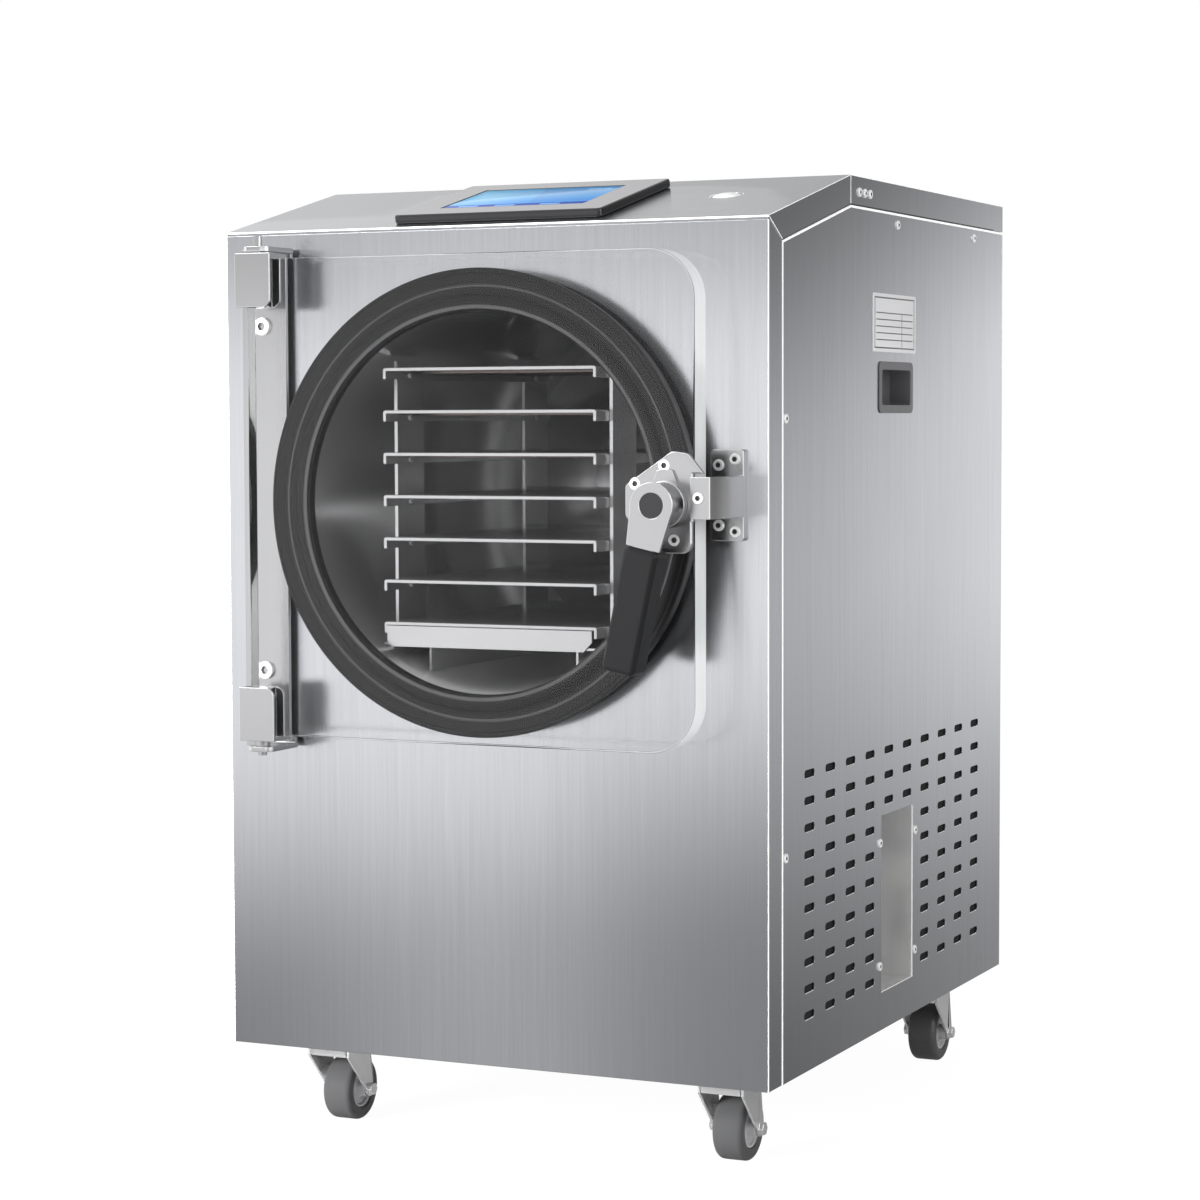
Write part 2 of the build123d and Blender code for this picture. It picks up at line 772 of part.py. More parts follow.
# ---------------------------------------------------------------- door
shaft_radius = 6
shaft_depth = 14
clip_slot = hinge_x + 12.5
clip_chamfer = 5
clip_round = 8
with BuildPart() as door_plate:
    with BuildSketch(ahead(door_rear)):
        with Locations(((door_left + door_right) / 2, door_low + door_height / 2)):
            Rectangle(door_right - door_left, door_height)
    extrude(amount=door_thickness)
    fillet(door_plate.edges().filter_by(Axis.Y).group_by(Axis.X)[-1], door_corner)
    for corner in ((door_low, door_low + clip_height), (door_top - clip_height, door_top)):
        with BuildSketch(ahead(door_rear)):
            with Locations(((door_left + clip_slot) / 2, (corner[0] + corner[1]) / 2)):
                Rectangle(clip_slot - door_left, clip_height)
        extrude(amount=door_thickness, mode=Mode.SUBTRACT)
    with BuildSketch(ahead(door_face)):
        with Locations((hub_x, hub_z)):
            Circle(shaft_radius + fit)
    extrude(amount=-shaft_depth, mode=Mode.SUBTRACT)
    chamfer(door_plate.faces().filter_by(Axis.Y).sort_by(Axis.Y)[0].outer_wire().edges(), 0.8)
finish(door_plate, "door_plate")

clip_left = hinge_x - 14.5
clip_right = clip_left + clip_width
for clip_name, low, high, bore_start in (
    ("upper", door_top - clip_height, clip_top, clip_top),
    ("lower", clip_bottom, door_low + clip_height, clip_bottom),
):
    with BuildPart() as hinge_clip:
        block(
            (clip_left, clip_right),
            (front_y - door_face - clip_leaf, front_y - door_rear + clip_leaf),
            (low, high),
        )
        inner = low if clip_name == "upper" else high
        corner = hinge_clip.edges().filter_by(Axis.Y).group_by(Axis.X)[-1]
        corner = corner.sort_by(Axis.Z)[0 if clip_name == "upper" else -1]
        if clip_name == "upper":
            chamfer(corner, clip_chamfer)
            slot_z = (low - 1, door_top)
        else:
            fillet(corner, clip_round)
            slot_z = (door_low, high + 1)
        block(
            (clip_slot, clip_right + 1),
            (front_y - door_face, front_y - door_rear),
            slot_z,
            Mode.SUBTRACT,
        )
        block(
            (clip_left + clip_leaf, clip_slot + 1),
            (front_y - door_face, front_y - door_rear),
            (inner - 8, inner + 8),
            Mode.SUBTRACT,
        )
        with BuildSketch(level(bore_start)):
            with Locations((hinge_x, hinge_y)):
                Circle(pin_radius + running)
        direction = -1 if clip_name == "upper" else 1
        extrude(amount=direction * (pin_depth + 1), mode=Mode.SUBTRACT)
    finish(hinge_clip, f"hinge_clip_{clip_name}")

# latch plate: it steps back behind the keeper's lip so that the door can leave it
plate_left = hub_x - 37
plate_right = door_right - 1
plate_low = hub_z - 40
high_corner = 7
low_corner = 9
side_corner = 4
strap_low = strap_z - strap_height / 2 - 2.5
strap_high = strap_z + strap_height / 2 + 2.5
latch_screws_xz = [
    (hub_x - 28, hub_z + 17),
    (hub_x - 2, hub_z + 32),
    (hub_x + 7, hub_z - 29),
    (hub_x - 24, hub_z - 23),
]
latch_screw_head = 4.5
latch_screw_seat = 2.3
with BuildPart() as latch_plate:
    with BuildSketch(ahead(door_face)):
        outline(
            (plate_left, hub_z - 10),
            (plate_left, hub_z + 15.7),
            (hub_x + 5, hub_z + 44),
            (hub_x + 19, hub_z + 42),
            (hub_x + 33, strap_high),
            (door_right, strap_high),
            (door_right, strap_low),
            (plate_right, strap_low),
            (plate_right, plate_low),
            (hub_x - 8, plate_low),
        )
        with Locations((hub_x, hub_z)):
            Circle(shaft_radius + running, mode=Mode.SUBTRACT)
    extrude(amount=latch_plate_thickness)
    upright = latch_plate.edges().filter_by(Axis.Y)
    high_corners = upright.filter_by_position(Axis.Z, hub_z + 41, hub_z + 45)
    fillet(high_corners, high_corner)
    upright = latch_plate.edges().filter_by(Axis.Y)
    low_corners = upright.filter_by_position(Axis.Z, plate_low - 1, plate_low + 1)
    fillet(low_corners, low_corner)
    upright = latch_plate.edges().filter_by(Axis.Y)
    fillet(upright.filter_by_position(Axis.X, plate_left - 1, plate_left + 1), side_corner)
    chamfer(latch_plate.faces().sort_by(Axis.Y)[0].outer_wire().edges(), 1)
    with BuildSketch(ahead(door_face)):
        with Locations(*latch_screws_xz):
            Circle(fixing_hole)
    extrude(amount=latch_plate_thickness, mode=Mode.SUBTRACT)
    with BuildSketch(ahead(door_face + latch_plate_thickness)):
        with Locations(*latch_screws_xz):
            Circle(latch_screw_head + 0.15)
    extrude(amount=-latch_screw_seat, mode=Mode.SUBTRACT)
finish(latch_plate, "latch_plate")

# their heads lie below the plate's face, under the cam's sweep
seat_reach = door_face + latch_plate_thickness - latch_screw_seat
latch_screw = round_screw(
    latch_screw_head, latch_screw_seat - 0.1, fixing_shank, seat_reach - door_face
)
with BuildPart() as latch_screws:
    for screw_x, screw_z in latch_screws_xz:
        seat = (screw_x, front_y - seat_reach, screw_z)
        with Locations(Plane(origin=seat, z_dir=(0, -1, 0))):
            add(latch_screw)
finish(latch_screws, "latch_screws")

# latch handle: shaft, cam, hub and arm turn together about the hub's axis
plate_back = handle_plate_reach - handle_plate_thickness
cap_radius = 10.3


def on_handle(reach):
    """Plane square to the hub, leaning with the handle, its Y pointing up the arm."""
    lean = radians(handle_lean)
    origin = (hub_x, front_y - reach, hub_z)
    return Plane(origin=origin, x_dir=(cos(lean), 0, -sin(lean)), z_dir=(0, -1, 0))


tang_width = 18
tang_length = 70
cap_depth = 2.5
with BuildPart() as latch_handle:
    with BuildSketch(ahead(door_face - shaft_depth + 1)):
        with Locations((hub_x, hub_z)):
            Circle(shaft_radius)
    extrude(amount=cam_front - door_face + shaft_depth - 1)
    with BuildSketch(ahead(cam_back)):
        with Locations((hub_x, hub_z)):
            Circle(hub_radius)
        with BuildLine():
            lobe = 7
            RadiusArc((hub_x - lobe, hub_z + cam_reach - 2), (hub_x + lobe, hub_z + cam_reach - 2), 22)
            Polyline(
                (hub_x + lobe, hub_z + cam_reach - 2),
                (hub_x + hub_radius - 4, hub_z + 8),
                (hub_x - hub_radius + 4, hub_z + 8),
                (hub_x - lobe, hub_z + cam_reach - 2),
            )
        make_face()
    extrude(amount=cam_thickness)
    with BuildSketch(ahead(cam_front)) as hub_foot:
        with Locations((hub_x, hub_z)):
            Circle(hub_radius)
    with BuildSketch(ahead(plate_back)) as hub_head:
        with Locations((hub_x, hub_z)):
            Circle(hub_radius - 3)
    loft(sections=[hub_foot.sketch, hub_head.sketch])
    with BuildSketch(on_handle(plate_back)):
        Circle(hub_radius)
        outline(
            (-hub_radius + 0.3, 0),
            (hub_radius - 0.3, 0),
            (grip_width / 2, -grip_start),
            (-grip_width / 2, -grip_start),
        )
        with Locations((0, -grip_start - tang_length / 2)):
            Rectangle(tang_width, tang_length)
    extrude(amount=handle_plate_thickness)
    with BuildSketch(on_handle(handle_plate_reach)):
        Circle(cap_radius + 0.2)
    extrude(amount=-cap_depth, mode=Mode.SUBTRACT)
finish(latch_handle, "latch_handle")

grip_back = grip_reach - grip_depth
with BuildPart() as handle_grip:
    with BuildSketch(on_handle(grip_back)):
        with Locations((0, -grip_start - grip_length / 2 - 0.1)):
            RectangleRounded(grip_width, grip_length, 5)
    extrude(amount=grip_depth)
    grip_front_face = handle_grip.faces().sort_by(Axis.Y)[0]
    chamfer(grip_front_face.edges(), 3)
    with BuildSketch(on_handle(plate_back - 0.1)):
        with Locations((0, -grip_start - tang_length / 2)):
            Rectangle(tang_width + 0.4, tang_length + 0.8)
    extrude(amount=handle_plate_thickness + 0.2, mode=Mode.SUBTRACT)
finish(handle_grip, "handle_grip")

with BuildPart() as hub_cap:
    with BuildSketch(on_handle(handle_plate_reach - cap_depth)):
        Circle(cap_radius)
    extrude(amount=cap_depth - 0.5)
finish(hub_cap, "hub_cap")

# ---------------------------------------------------------------- controls on the hood
with BuildPart() as display_housing:
    with BuildSketch(on_slope()):
        with Locations((display_x, display_centre)):
            RectangleRounded(display_width, display_depth, 5)
    extrude(amount=display_proud)
    chamfer(display_housing.faces().sort_by(Axis.Z)[-1].edges(), 1.2)
    with BuildSketch(on_slope()):
        with Locations((display_x, display_centre)):
            Rectangle(display_hole[0] - 2, display_hole[1] - 2)
    extrude(amount=-28)
    with BuildSketch(on_slope(display_proud)):
        with Locations((display_x, display_centre)):
            Rectangle(screen_width + 0.4, screen_depth + 0.4)
    extrude(amount=-2.5, mode=Mode.SUBTRACT)
finish(display_housing, "display_housing")

with BuildPart() as display_screen:
    with BuildSketch(on_slope(display_proud - 2.5)):
        with Locations((display_x, display_centre)):
            Rectangle(screen_width, screen_depth)
    extrude(amount=2)
finish(display_screen, "display_screen")

stem_radius = 3
button_skirt = 4            # how far the button reaches into its housing
button_floor = -(button_skirt + button_travel + 5)
with BuildPart() as button_housing:
    with BuildSketch(on_slope()):
        with Locations((button_x, button_centre)):
            Circle(button_neck + 1.5)
    extrude(amount=2)
    with BuildSketch(on_slope()):
        with Locations((button_x, button_centre)):
            Circle(button_neck)
    extrude(amount=-26)
    with BuildSketch(on_slope(2)):
        with Locations((button_x, button_centre)):
            Circle(button_radius + fit)
    extrude(amount=button_floor - 2, mode=Mode.SUBTRACT)
    with BuildSketch(on_slope(2)):
        with Locations((button_x, button_centre)):
            Circle(stem_radius + running)
    extrude(amount=-24, mode=Mode.SUBTRACT)
finish(button_housing, "button_housing")

dome_height = 6.5
with BuildPart() as push_button:
    with BuildSketch(on_slope(-button_skirt)):
        with Locations((button_x, button_centre)):
            Circle(button_radius)
    extrude(amount=button_skirt + 2.5)
    dome_radius = (button_radius**2 + dome_height**2) / (2 * dome_height)
    dome_base = on_slope(2.5)
    dome_plane = Plane(
        origin=dome_base.from_local_coords((button_x, button_centre, 0)),
        x_dir=(1, 0, 0),
        z_dir=(0, -cos(slope), -sin(slope)),
    )
    with BuildSketch(dome_plane):
        with BuildLine():
            Polyline((0, dome_height), (0, 0), (button_radius, 0))
            RadiusArc((button_radius, 0), (0, dome_height), -dome_radius)
        make_face()
    revolve(axis=Axis(dome_plane.origin, (0, -sin(slope), cos(slope))))
    with BuildSketch(on_slope(-button_skirt)):
        with Locations((button_x, button_centre)):
            Circle(stem_radius)
    extrude(amount=button_floor)
finish(push_button, "push_button")

# ---------------------------------------------------------------- fittings on the sides
with BuildPart() as label_plate:
    with BuildSketch(beside(half_width)):
        with Locations((front_y + label_y, base_z + label_z)):
            RectangleRounded(label_width, label_height, 2)
    extrude(amount=0.6)
finish(label_plate, "label_plate")

for side, side_name in ((1, "right"), (-1, "left")):
    with BuildPart() as pull_handle:
        with BuildSketch(beside(side * half_width)):
            with Locations((front_y + pull_y, base_z + pull_z)):
                RectangleRounded(pull_width, pull_height, 6)
        extrude(amount=side * 1.2)
        with BuildSketch(beside(side * half_width)):
            with Locations((front_y + pull_y, base_z + pull_z)):
                Rectangle(pull_hole_width - 0.6, pull_hole_height - 0.6)
        extrude(amount=-side * pull_depth)
        with BuildSketch(beside(side * (half_width + 1.2))):
            with Locations((front_y + pull_y, base_z + pull_z)):
                RectangleRounded(pull_width - 2 * pull_border, pull_height - 2 * pull_border, 3)
        extrude(amount=-side * (pull_depth - 1), mode=Mode.SUBTRACT)
    finish(pull_handle, f"pull_handle_{side_name}")

pocket_flange = 10
with BuildPart() as connection_pocket:
    with BuildSketch(beside(inner_half)):
        with Locations((front_y + pocket_y, base_z + pocket_z)):
            Rectangle(pocket_width + 2 * pocket_flange, pocket_height + 4)
    extrude(amount=-pocket_wall)
    with BuildSketch(beside(inner_half)):
        with Locations((front_y + pocket_y, base_z + pocket_z)):
            Rectangle(pocket_width + 2 * pocket_wall, pocket_height + 2 * pocket_wall)
    extrude(amount=-pocket_depth)
    with BuildSketch(beside(inner_half)):
        with Locations((front_y + pocket_y, base_z + pocket_z)):
            Rectangle(pocket_width, pocket_height)
    extrude(amount=pocket_wall - pocket_depth, mode=Mode.SUBTRACT)
    with BuildSketch(beside(inner_half)):
        with Locations(*pocket_screws):
            Circle(panel_screw_shank + 0.1)
    extrude(amount=-pocket_wall, mode=Mode.SUBTRACT)
    with BuildSketch(beside(pocket_back)):
        with Locations((front_y + pocket_y, port_z)):
            Circle(vacuum_line_radius + 0.1)
        with Locations((valve_y, valve_z)):
            Circle(6.1)
    extrude(amount=pocket_wall, mode=Mode.SUBTRACT)
    with BuildSketch(level(base_z + pocket_z - pocket_height / 2)):
        with Locations((barb_x, valve_y)):
            Circle(drain_hole)
    extrude(amount=-pocket_wall, mode=Mode.SUBTRACT)
finish(connection_pocket, "connection_pocket")

# vacuum line: from the port in the pocket to the underside of the chamber
port_flange_radius = 20
port_bore_radius = 11.5
port_outer_x = pocket_back + 34
line_bend = 40
with BuildPart() as vacuum_port:
    with BuildLine():
        FilletPolyline(
            (port_outer_x, vacuum_line_y, port_z),
            (chamber_x, vacuum_line_y, port_z),
            (chamber_x, vacuum_line_y, chamber_z - chamber_radius),
            radius=line_bend,
        )
    with BuildSketch(beside(port_outer_x)):
        with Locations((vacuum_line_y, port_z)):
            Circle(vacuum_line_radius)
    sweep()
    with BuildSketch(beside(port_outer_x - 5)):
        with Locations((vacuum_line_y, port_z)):
            Circle(port_flange_radius)
    extrude(amount=5)
    with BuildSketch(beside(pocket_back + pocket_wall)):
        with Locations((vacuum_line_y, port_z)):
            Circle(vacuum_line_radius + 5)
    extrude(amount=4)
    with BuildSketch(beside(port_outer_x)):
        with Locations((vacuum_line_y, port_z)):
            Circle(port_bore_radius)
    extrude(amount=-30, mode=Mode.SUBTRACT)
    with BuildSketch(Plane.XZ.offset(-vacuum_line_y)):
        with Locations((chamber_x, chamber_z)):
            Circle(outer_radius + 0.1)
    extrude(amount=2 * vacuum_line_radius, both=True, mode=Mode.SUBTRACT)
finish(vacuum_port, "vacuum_port")

# drain valve: ball-valve body on the pocket's back wall with a quarter-turn lever
valve_front = pocket_back + pocket_wall + 26
barb_radius = 5
barb_length = 20
valve_radius = 11
collar_radius = 7
collar_end = valve_z - valve_radius - 1
with BuildPart() as drain_valve:
    with BuildSketch(beside(pocket_back - 6)):
        with Locations((valve_y, valve_z)):
            Circle(6)
    extrude(amount=valve_front - pocket_back + 6)
    with BuildSketch(beside(pocket_back + pocket_wall)):
        with Locations((valve_y, valve_z)):
            Circle(valve_radius)
    extrude(amount=20)
    with BuildSketch(level(collar_end)):
        with Locations((barb_x, valve_y)):
            Circle(collar_radius)
    extrude(amount=valve_radius / 2)
    with BuildSketch(level(collar_end)):
        with Locations((barb_x, valve_y)):
            Circle(barb_radius)
    extrude(amount=-barb_length)
    with BuildSketch(beside(valve_front)):
        with Locations((valve_y, valve_z)):
            Circle(3)
    extrude(amount=9)
finish(drain_valve, "drain_valve")

lever_length = 36
with BuildPart() as drain_lever:
    with BuildSketch(beside(valve_front + fit)):
        with Locations((valve_y, valve_z)):
            Circle(13)
            Circle(3 + running, mode=Mode.SUBTRACT)
        with Locations((valve_y, valve_z + lever_length / 2 + 6)):
            RectangleRounded(11, lever_length - 6, 4)
    extrude(amount=6)
finish(drain_lever, "drain_lever")

panel_screw = round_screw(panel_screw_head, screw_head, panel_screw_shank, panel_screw_length)
with BuildPart() as panel_screws:
    for screw_y_at, screw_z_at in side_screws + skirt_screws + pocket_screws:
        seat = (half_width, screw_y_at, screw_z_at)
        with Locations(Plane(origin=seat, x_dir=(0, 1, 0), z_dir=(1, 0, 0))):
            add(panel_screw)
    for screw_y_at, screw_z_at in side_screws:
        seat = (-half_width, screw_y_at, screw_z_at)
        with Locations(Plane(origin=seat, x_dir=(0, -1, 0), z_dir=(-1, 0, 0))):
            add(panel_screw)
    for screw_x, screw_z in rear_screws:
        seat = (screw_x, rear_y, screw_z)
        with Locations(Plane(origin=seat, x_dir=(-1, 0, 0), z_dir=(0, 1, 0))):
            add(panel_screw)
finish(panel_screws, "panel_screws")

with BuildPart() as power_inlet:
    with BuildSketch(Plane.XZ.offset(-rear_y)):
        with Locations((inlet_x, inlet_z)):
            RectangleRounded(inlet_width, inlet_height, 3)
    extrude(amount=-rear_reach)
    with BuildSketch(Plane.XZ.offset(-rear_y)):
        with Locations((inlet_x, inlet_z)):
            Rectangle(inlet_width - 8.6, inlet_height - 6.6)
    extrude(amount=24)
    with BuildSketch(Plane.XZ.offset(-rear_y - rear_reach)):
        with Locations((inlet_x, inlet_z)):
            Rectangle(25, 17)
    extrude(amount=18, mode=Mode.SUBTRACT)
finish(power_inlet, "power_inlet")

# ---------------------------------------------------------------- refrigeration and controls
compressor_x = -95
compressor_y = front_y + 430
compressor_radius = 72
compressor_base = base_z + pan_sheet + 12
with BuildPart() as compressor:
    with BuildSketch(level(compressor_base)):
        with Locations((compressor_x, compressor_y)):
            Circle(compressor_radius)
    extrude(amount=140)
    fillet(compressor.faces().sort_by(Axis.Z)[-1].edges(), 45)
    fillet(compressor.faces().sort_by(Axis.Z)[0].edges(), 8)
    block(
        (compressor_x - 80, compressor_x + 80),
        (compressor_y - 50, compressor_y + 50),
        (compressor_base, compressor_base + 3),
    )
    foot_places = [
        (compressor_x + x, compressor_y + y) for x in (-72, 72) for y in (-42, 42)
    ]
    with BuildSketch(level(base_z + pan_sheet)):
        with Locations(*foot_places):
            Circle(9)
    extrude(amount=compressor_base - base_z - pan_sheet)
finish(compressor, "compressor")

cooler_y = front_y + 480
cooler_z = base_z + 150
cooler_size = 190
cooler_x = inner_half - edge_return - 32
with BuildPart() as condenser:
    block(
        (cooler_x, cooler_x + 24),
        (cooler_y - cooler_size / 2, cooler_y + cooler_size / 2),
        (cooler_z - cooler_size / 2, cooler_z + cooler_size / 2),
    )
    for side in (-1, 1):
        block(
            (cooler_x, cooler_x + 24),
            sorted((cooler_y + side * 80, cooler_y + side * 95)),
            (base_z + pan_sheet, cooler_z),
        )
finish(condenser, "condenser")

fan_radius = 80
fan_x = cooler_x - 26
with BuildPart() as fan_shroud:
    with BuildSketch(beside(fan_x)):
        with Locations((cooler_y, cooler_z)):
            Rectangle(cooler_size, cooler_size)
            Circle(fan_radius + 3, mode=Mode.SUBTRACT)
    extrude(amount=26)
    with BuildSketch(beside(fan_x)):
        with Locations((cooler_y, cooler_z)):
            Rectangle(2 * fan_radius + 12, 10)
            Rectangle(10, 2 * fan_radius + 12)
            Circle(24)
    extrude(amount=-4)
    with BuildSketch(beside(fan_x)):
        with Locations((cooler_y, cooler_z)):
            Circle(3)
    extrude(amount=20)
finish(fan_shroud, "fan_shroud")

with BuildPart() as fan_rotor:
    with BuildSketch(beside(fan_x + 2)):
        with Locations((cooler_y, cooler_z)):
            Circle(20)
            Circle(3 + running, mode=Mode.SUBTRACT)
    extrude(amount=18)
    for blade in range(5):
        turn = 360 / 5 * blade
        blade_plane = Plane(
            origin=(fan_x + 11, cooler_y, cooler_z), x_dir=(1, 0, 0), z_dir=(0, 0, 1)
        ).rotated((turn, 0, 0))
        with BuildSketch(blade_plane.offset(17)):
            Rectangle(2.5, 19, rotation=-62)
        extrude(amount=fan_radius - 17)
finish(fan_rotor, "fan_rotor")

with BuildPart() as control_box:
    block(
        (-225, -95),
        (front_y + 60, front_y + 250),
        (base_z + pan_sheet, base_z + pan_sheet + 110),
    )
    fillet(control_box.edges().filter_by(Axis.Z), 4)
finish(control_box, "control_box")

# ---------------------------------------------------------------- casters
race_radius = 17
kingpin_radius = 5
crown_top = base_z - 8.3
crown_sheet = 2.5
crown_bottom = crown_top - crown_sheet
crown_half = 21.5
crown_reach = 21
lip_drop = 8
axle_radius = 4
axle_z = wheel_diameter / 2
with BuildPart() as caster_plates:
    for caster_x, caster_y in caster_places.values():
        with BuildSketch(level(base_z)):
            with Locations((caster_x, caster_y)):
                RectangleRounded(plate_width, plate_length, 5)
        extrude(amount=-2.5)
        with BuildSketch(level(base_z - 2.5)):
            with Locations((caster_x, caster_y)):
                Circle(race_radius)
        extrude(amount=-(base_z - 2.5 - crown_top - fit))
        with BuildSketch(level(base_z - 2.5)):
            with Locations((caster_x, caster_y)):
                Circle(kingpin_radius)
        extrude(amount=-(base_z - 2.5 - crown_bottom + 3.3))
        with BuildSketch(level(crown_bottom - fit)):
            with Locations((caster_x, caster_y)):
                Circle(9)
        extrude(amount=-3)
        bolt_places = [(caster_x + x, caster_y + y) for x, y in plate_bolts]
        with BuildSketch(level(base_z - 2.5)):
            with Locations(*bolt_places):
                RegularPolygon(4, 6)
        extrude(amount=-3)
finish(caster_plates, "caster_plates")

leg_thickness = crown_sheet
for caster_name, (caster_x, caster_y) in caster_places.items():
    axle_y = caster_y + caster_trail
    with BuildPart() as caster_fork:
        with BuildSketch(level(crown_bottom)):
            with Locations((caster_x, caster_y)):
                RectangleRounded(2 * crown_half, 2 * crown_reach, 4)
                Circle(kingpin_radius + running, mode=Mode.SUBTRACT)
        extrude(amount=crown_sheet)
        block(
            (caster_x - crown_half + 3, caster_x + crown_half - 3),
            (caster_y - crown_reach, caster_y - crown_reach + crown_sheet),
            (crown_bottom - lip_drop, crown_top - 0.5),
        )
        for side in (-1, 1):
            with BuildSketch(beside(caster_x + side * crown_half)):
                with BuildLine():
                    start = (caster_y - crown_reach + 2, crown_top - 0.5)
                    lip = (caster_y - crown_reach, crown_bottom - lip_drop)
                    front_foot = (axle_y - 7, axle_z)
                    rear_foot = (axle_y + 7, axle_z)
                    rear = (caster_y + crown_reach - 2, crown_top - 0.5)
                    Polyline(rear_foot, rear, start, lip, front_foot)
                    RadiusArc(front_foot, rear_foot, -7)
                make_face()
                with Locations((axle_y, axle_z)):
                    Circle(axle_radius + running, mode=Mode.SUBTRACT)
            extrude(amount=-side * leg_thickness)
        with BuildSketch(beside(caster_x - crown_half - 4)):
            with Locations((axle_y, axle_z)):
                Circle(axle_radius)
        extrude(amount=2 * crown_half + 8)
        with BuildSketch(beside(caster_x + crown_half)):
            with Locations((axle_y, axle_z)):
                RegularPolygon(6, 6, major_radius=True)
        extrude(amount=4)
        with BuildSketch(beside(caster_x - crown_half)):
            with Locations((axle_y, axle_z)):
                RegularPolygon(6, 6, major_radius=True)
        extrude(amount=-4)
    finish(caster_fork, f"caster_fork_{caster_name}")

    with BuildPart() as caster_wheel:
        with BuildSketch(beside(caster_x - wheel_width / 2)):
            with Locations((axle_y, axle_z)):
                Circle(wheel_diameter / 2)
        extrude(amount=wheel_width)
        tread = caster_wheel.edges().filter_by(GeomType.CIRCLE)
        fillet(tread, wheel_round)
        for side in (-1, 1):
            with BuildSketch(beside(caster_x + side * wheel_width / 2)):
                with Locations((axle_y, axle_z)):
                    Circle(wheel_diameter / 2 - wheel_round - 4)
            extrude(amount=-side * wheel_recess, mode=Mode.SUBTRACT)
        hub_half = crown_half - leg_thickness - fit
        with BuildSketch(beside(caster_x - hub_half)):
            with Locations((axle_y, axle_z)):
                Circle(7.5)
        extrude(amount=2 * hub_half)
        with BuildSketch(beside(caster_x - hub_half)):
            with Locations((axle_y, axle_z)):
                Circle(axle_radius + running)
        extrude(amount=2 * hub_half, mode=Mode.SUBTRACT)
    finish(caster_wheel, f"caster_wheel_{caster_name}")
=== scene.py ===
import math

import bmesh
import bpy
from mathutils import Matrix, Vector
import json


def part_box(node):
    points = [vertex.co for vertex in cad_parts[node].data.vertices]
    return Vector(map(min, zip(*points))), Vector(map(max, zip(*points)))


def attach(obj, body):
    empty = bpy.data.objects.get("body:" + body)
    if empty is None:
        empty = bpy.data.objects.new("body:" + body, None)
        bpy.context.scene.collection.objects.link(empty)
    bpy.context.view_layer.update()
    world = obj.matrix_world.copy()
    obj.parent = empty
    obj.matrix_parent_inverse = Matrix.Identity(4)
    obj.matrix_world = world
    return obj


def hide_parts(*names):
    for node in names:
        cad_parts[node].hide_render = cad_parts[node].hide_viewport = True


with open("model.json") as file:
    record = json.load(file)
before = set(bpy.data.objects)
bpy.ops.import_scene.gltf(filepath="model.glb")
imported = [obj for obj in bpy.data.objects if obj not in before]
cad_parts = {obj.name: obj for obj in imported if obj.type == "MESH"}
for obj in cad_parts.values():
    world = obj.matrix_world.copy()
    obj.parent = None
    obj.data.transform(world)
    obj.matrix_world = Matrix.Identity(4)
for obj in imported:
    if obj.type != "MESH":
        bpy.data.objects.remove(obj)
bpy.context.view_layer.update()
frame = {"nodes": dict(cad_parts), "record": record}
cad = frame["nodes"]
mm = 0.001

# ------------------------------------------------------------------ places read from the frame
half_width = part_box("side_panel_right")[1].x
chamber_low, chamber_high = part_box("vacuum_chamber")
chamber_x = (chamber_low.x + chamber_high.x) / 2
chamber_z = (chamber_low.z + chamber_high.z) / 2
slope = math.radians(13.4187)


# ------------------------------------------------------------------ material helpers
def link(tree, source, target):
    tree.links.new(source, target)


def set_inputs(node, **values):
    """Sets unlinked inputs by name, with _ for each space."""
    for key, value in values.items():
        node.inputs[key.replace("_", " ")].default_value = value


def add_node(tree, kind, **settings):
    """A node with its plain properties and its unlinked inputs set by name."""
    made = tree.nodes.new(kind)
    for key, value in settings.items():
        if hasattr(made, key):
            setattr(made, key, value)
        else:
            set_inputs(made, **{key: value})
    return made


def object_place(tree):
    return add_node(tree, "ShaderNodeTexCoord").outputs["Object"]


def split_axes(tree, vector):
    """The X, Y and Z of a vector."""
    split = add_node(tree, "ShaderNodeSeparateXYZ")
    link(tree, vector, split.inputs[0])
    return split.outputs


def arithmetic(tree, operation, *values):
    """One maths node; each value is a number or an output to link."""
    node = add_node(tree, "ShaderNodeMath", operation=operation)
    for number, value in enumerate(values):
        if isinstance(value, (int, float)):
            node.inputs[number].default_value = value
        else:
            link(tree, value, node.inputs[number])
    return node.outputs[0]


def slide(tree, value, start, end, low=0.0, high=1.0):
    """A smooth change from low to high while the value goes from start to end."""
    node = add_node(tree, "ShaderNodeMapRange", interpolation_type="SMOOTHSTEP")
    set_inputs(node, From_Min=start, From_Max=end, To_Min=low, To_Max=high)
    link(tree, value, node.inputs["Value"])
    return node.outputs["Result"]


def noise(tree, place, **settings):
    made = add_node(tree, "ShaderNodeTexNoise", **settings)
    link(tree, place, made.inputs["Vector"])
    return made


def average(tree, factor, first, second):
    """Two noises mixed; returns the mix, and the mix less its middle value of a half."""
    both = add_node(tree, "ShaderNodeMix", data_type="FLOAT", Factor=factor)
    link(tree, first.outputs["Fac"], both.inputs["A"])
    link(tree, second.outputs["Fac"], both.inputs["B"])
    return both.outputs["Result"], arithmetic(tree, "SUBTRACT", both.outputs["Result"], 0.5)


def effect_group(name, inputs):
    """An empty shader node group that gives Tone and Height, and its two end nodes."""
    tree = bpy.data.node_groups.new(name, "ShaderNodeTree")
    for socket, kind, value in inputs:
        made = tree.interface.new_socket(socket, in_out="INPUT", socket_type=kind)
        made.default_value = value
    for socket in ("Tone", "Height"):
        tree.interface.new_socket(socket, in_out="OUTPUT", socket_type="NodeSocketFloat")
    return tree, tree.nodes.new("NodeGroupInput"), tree.nodes.new("NodeGroupOutput")


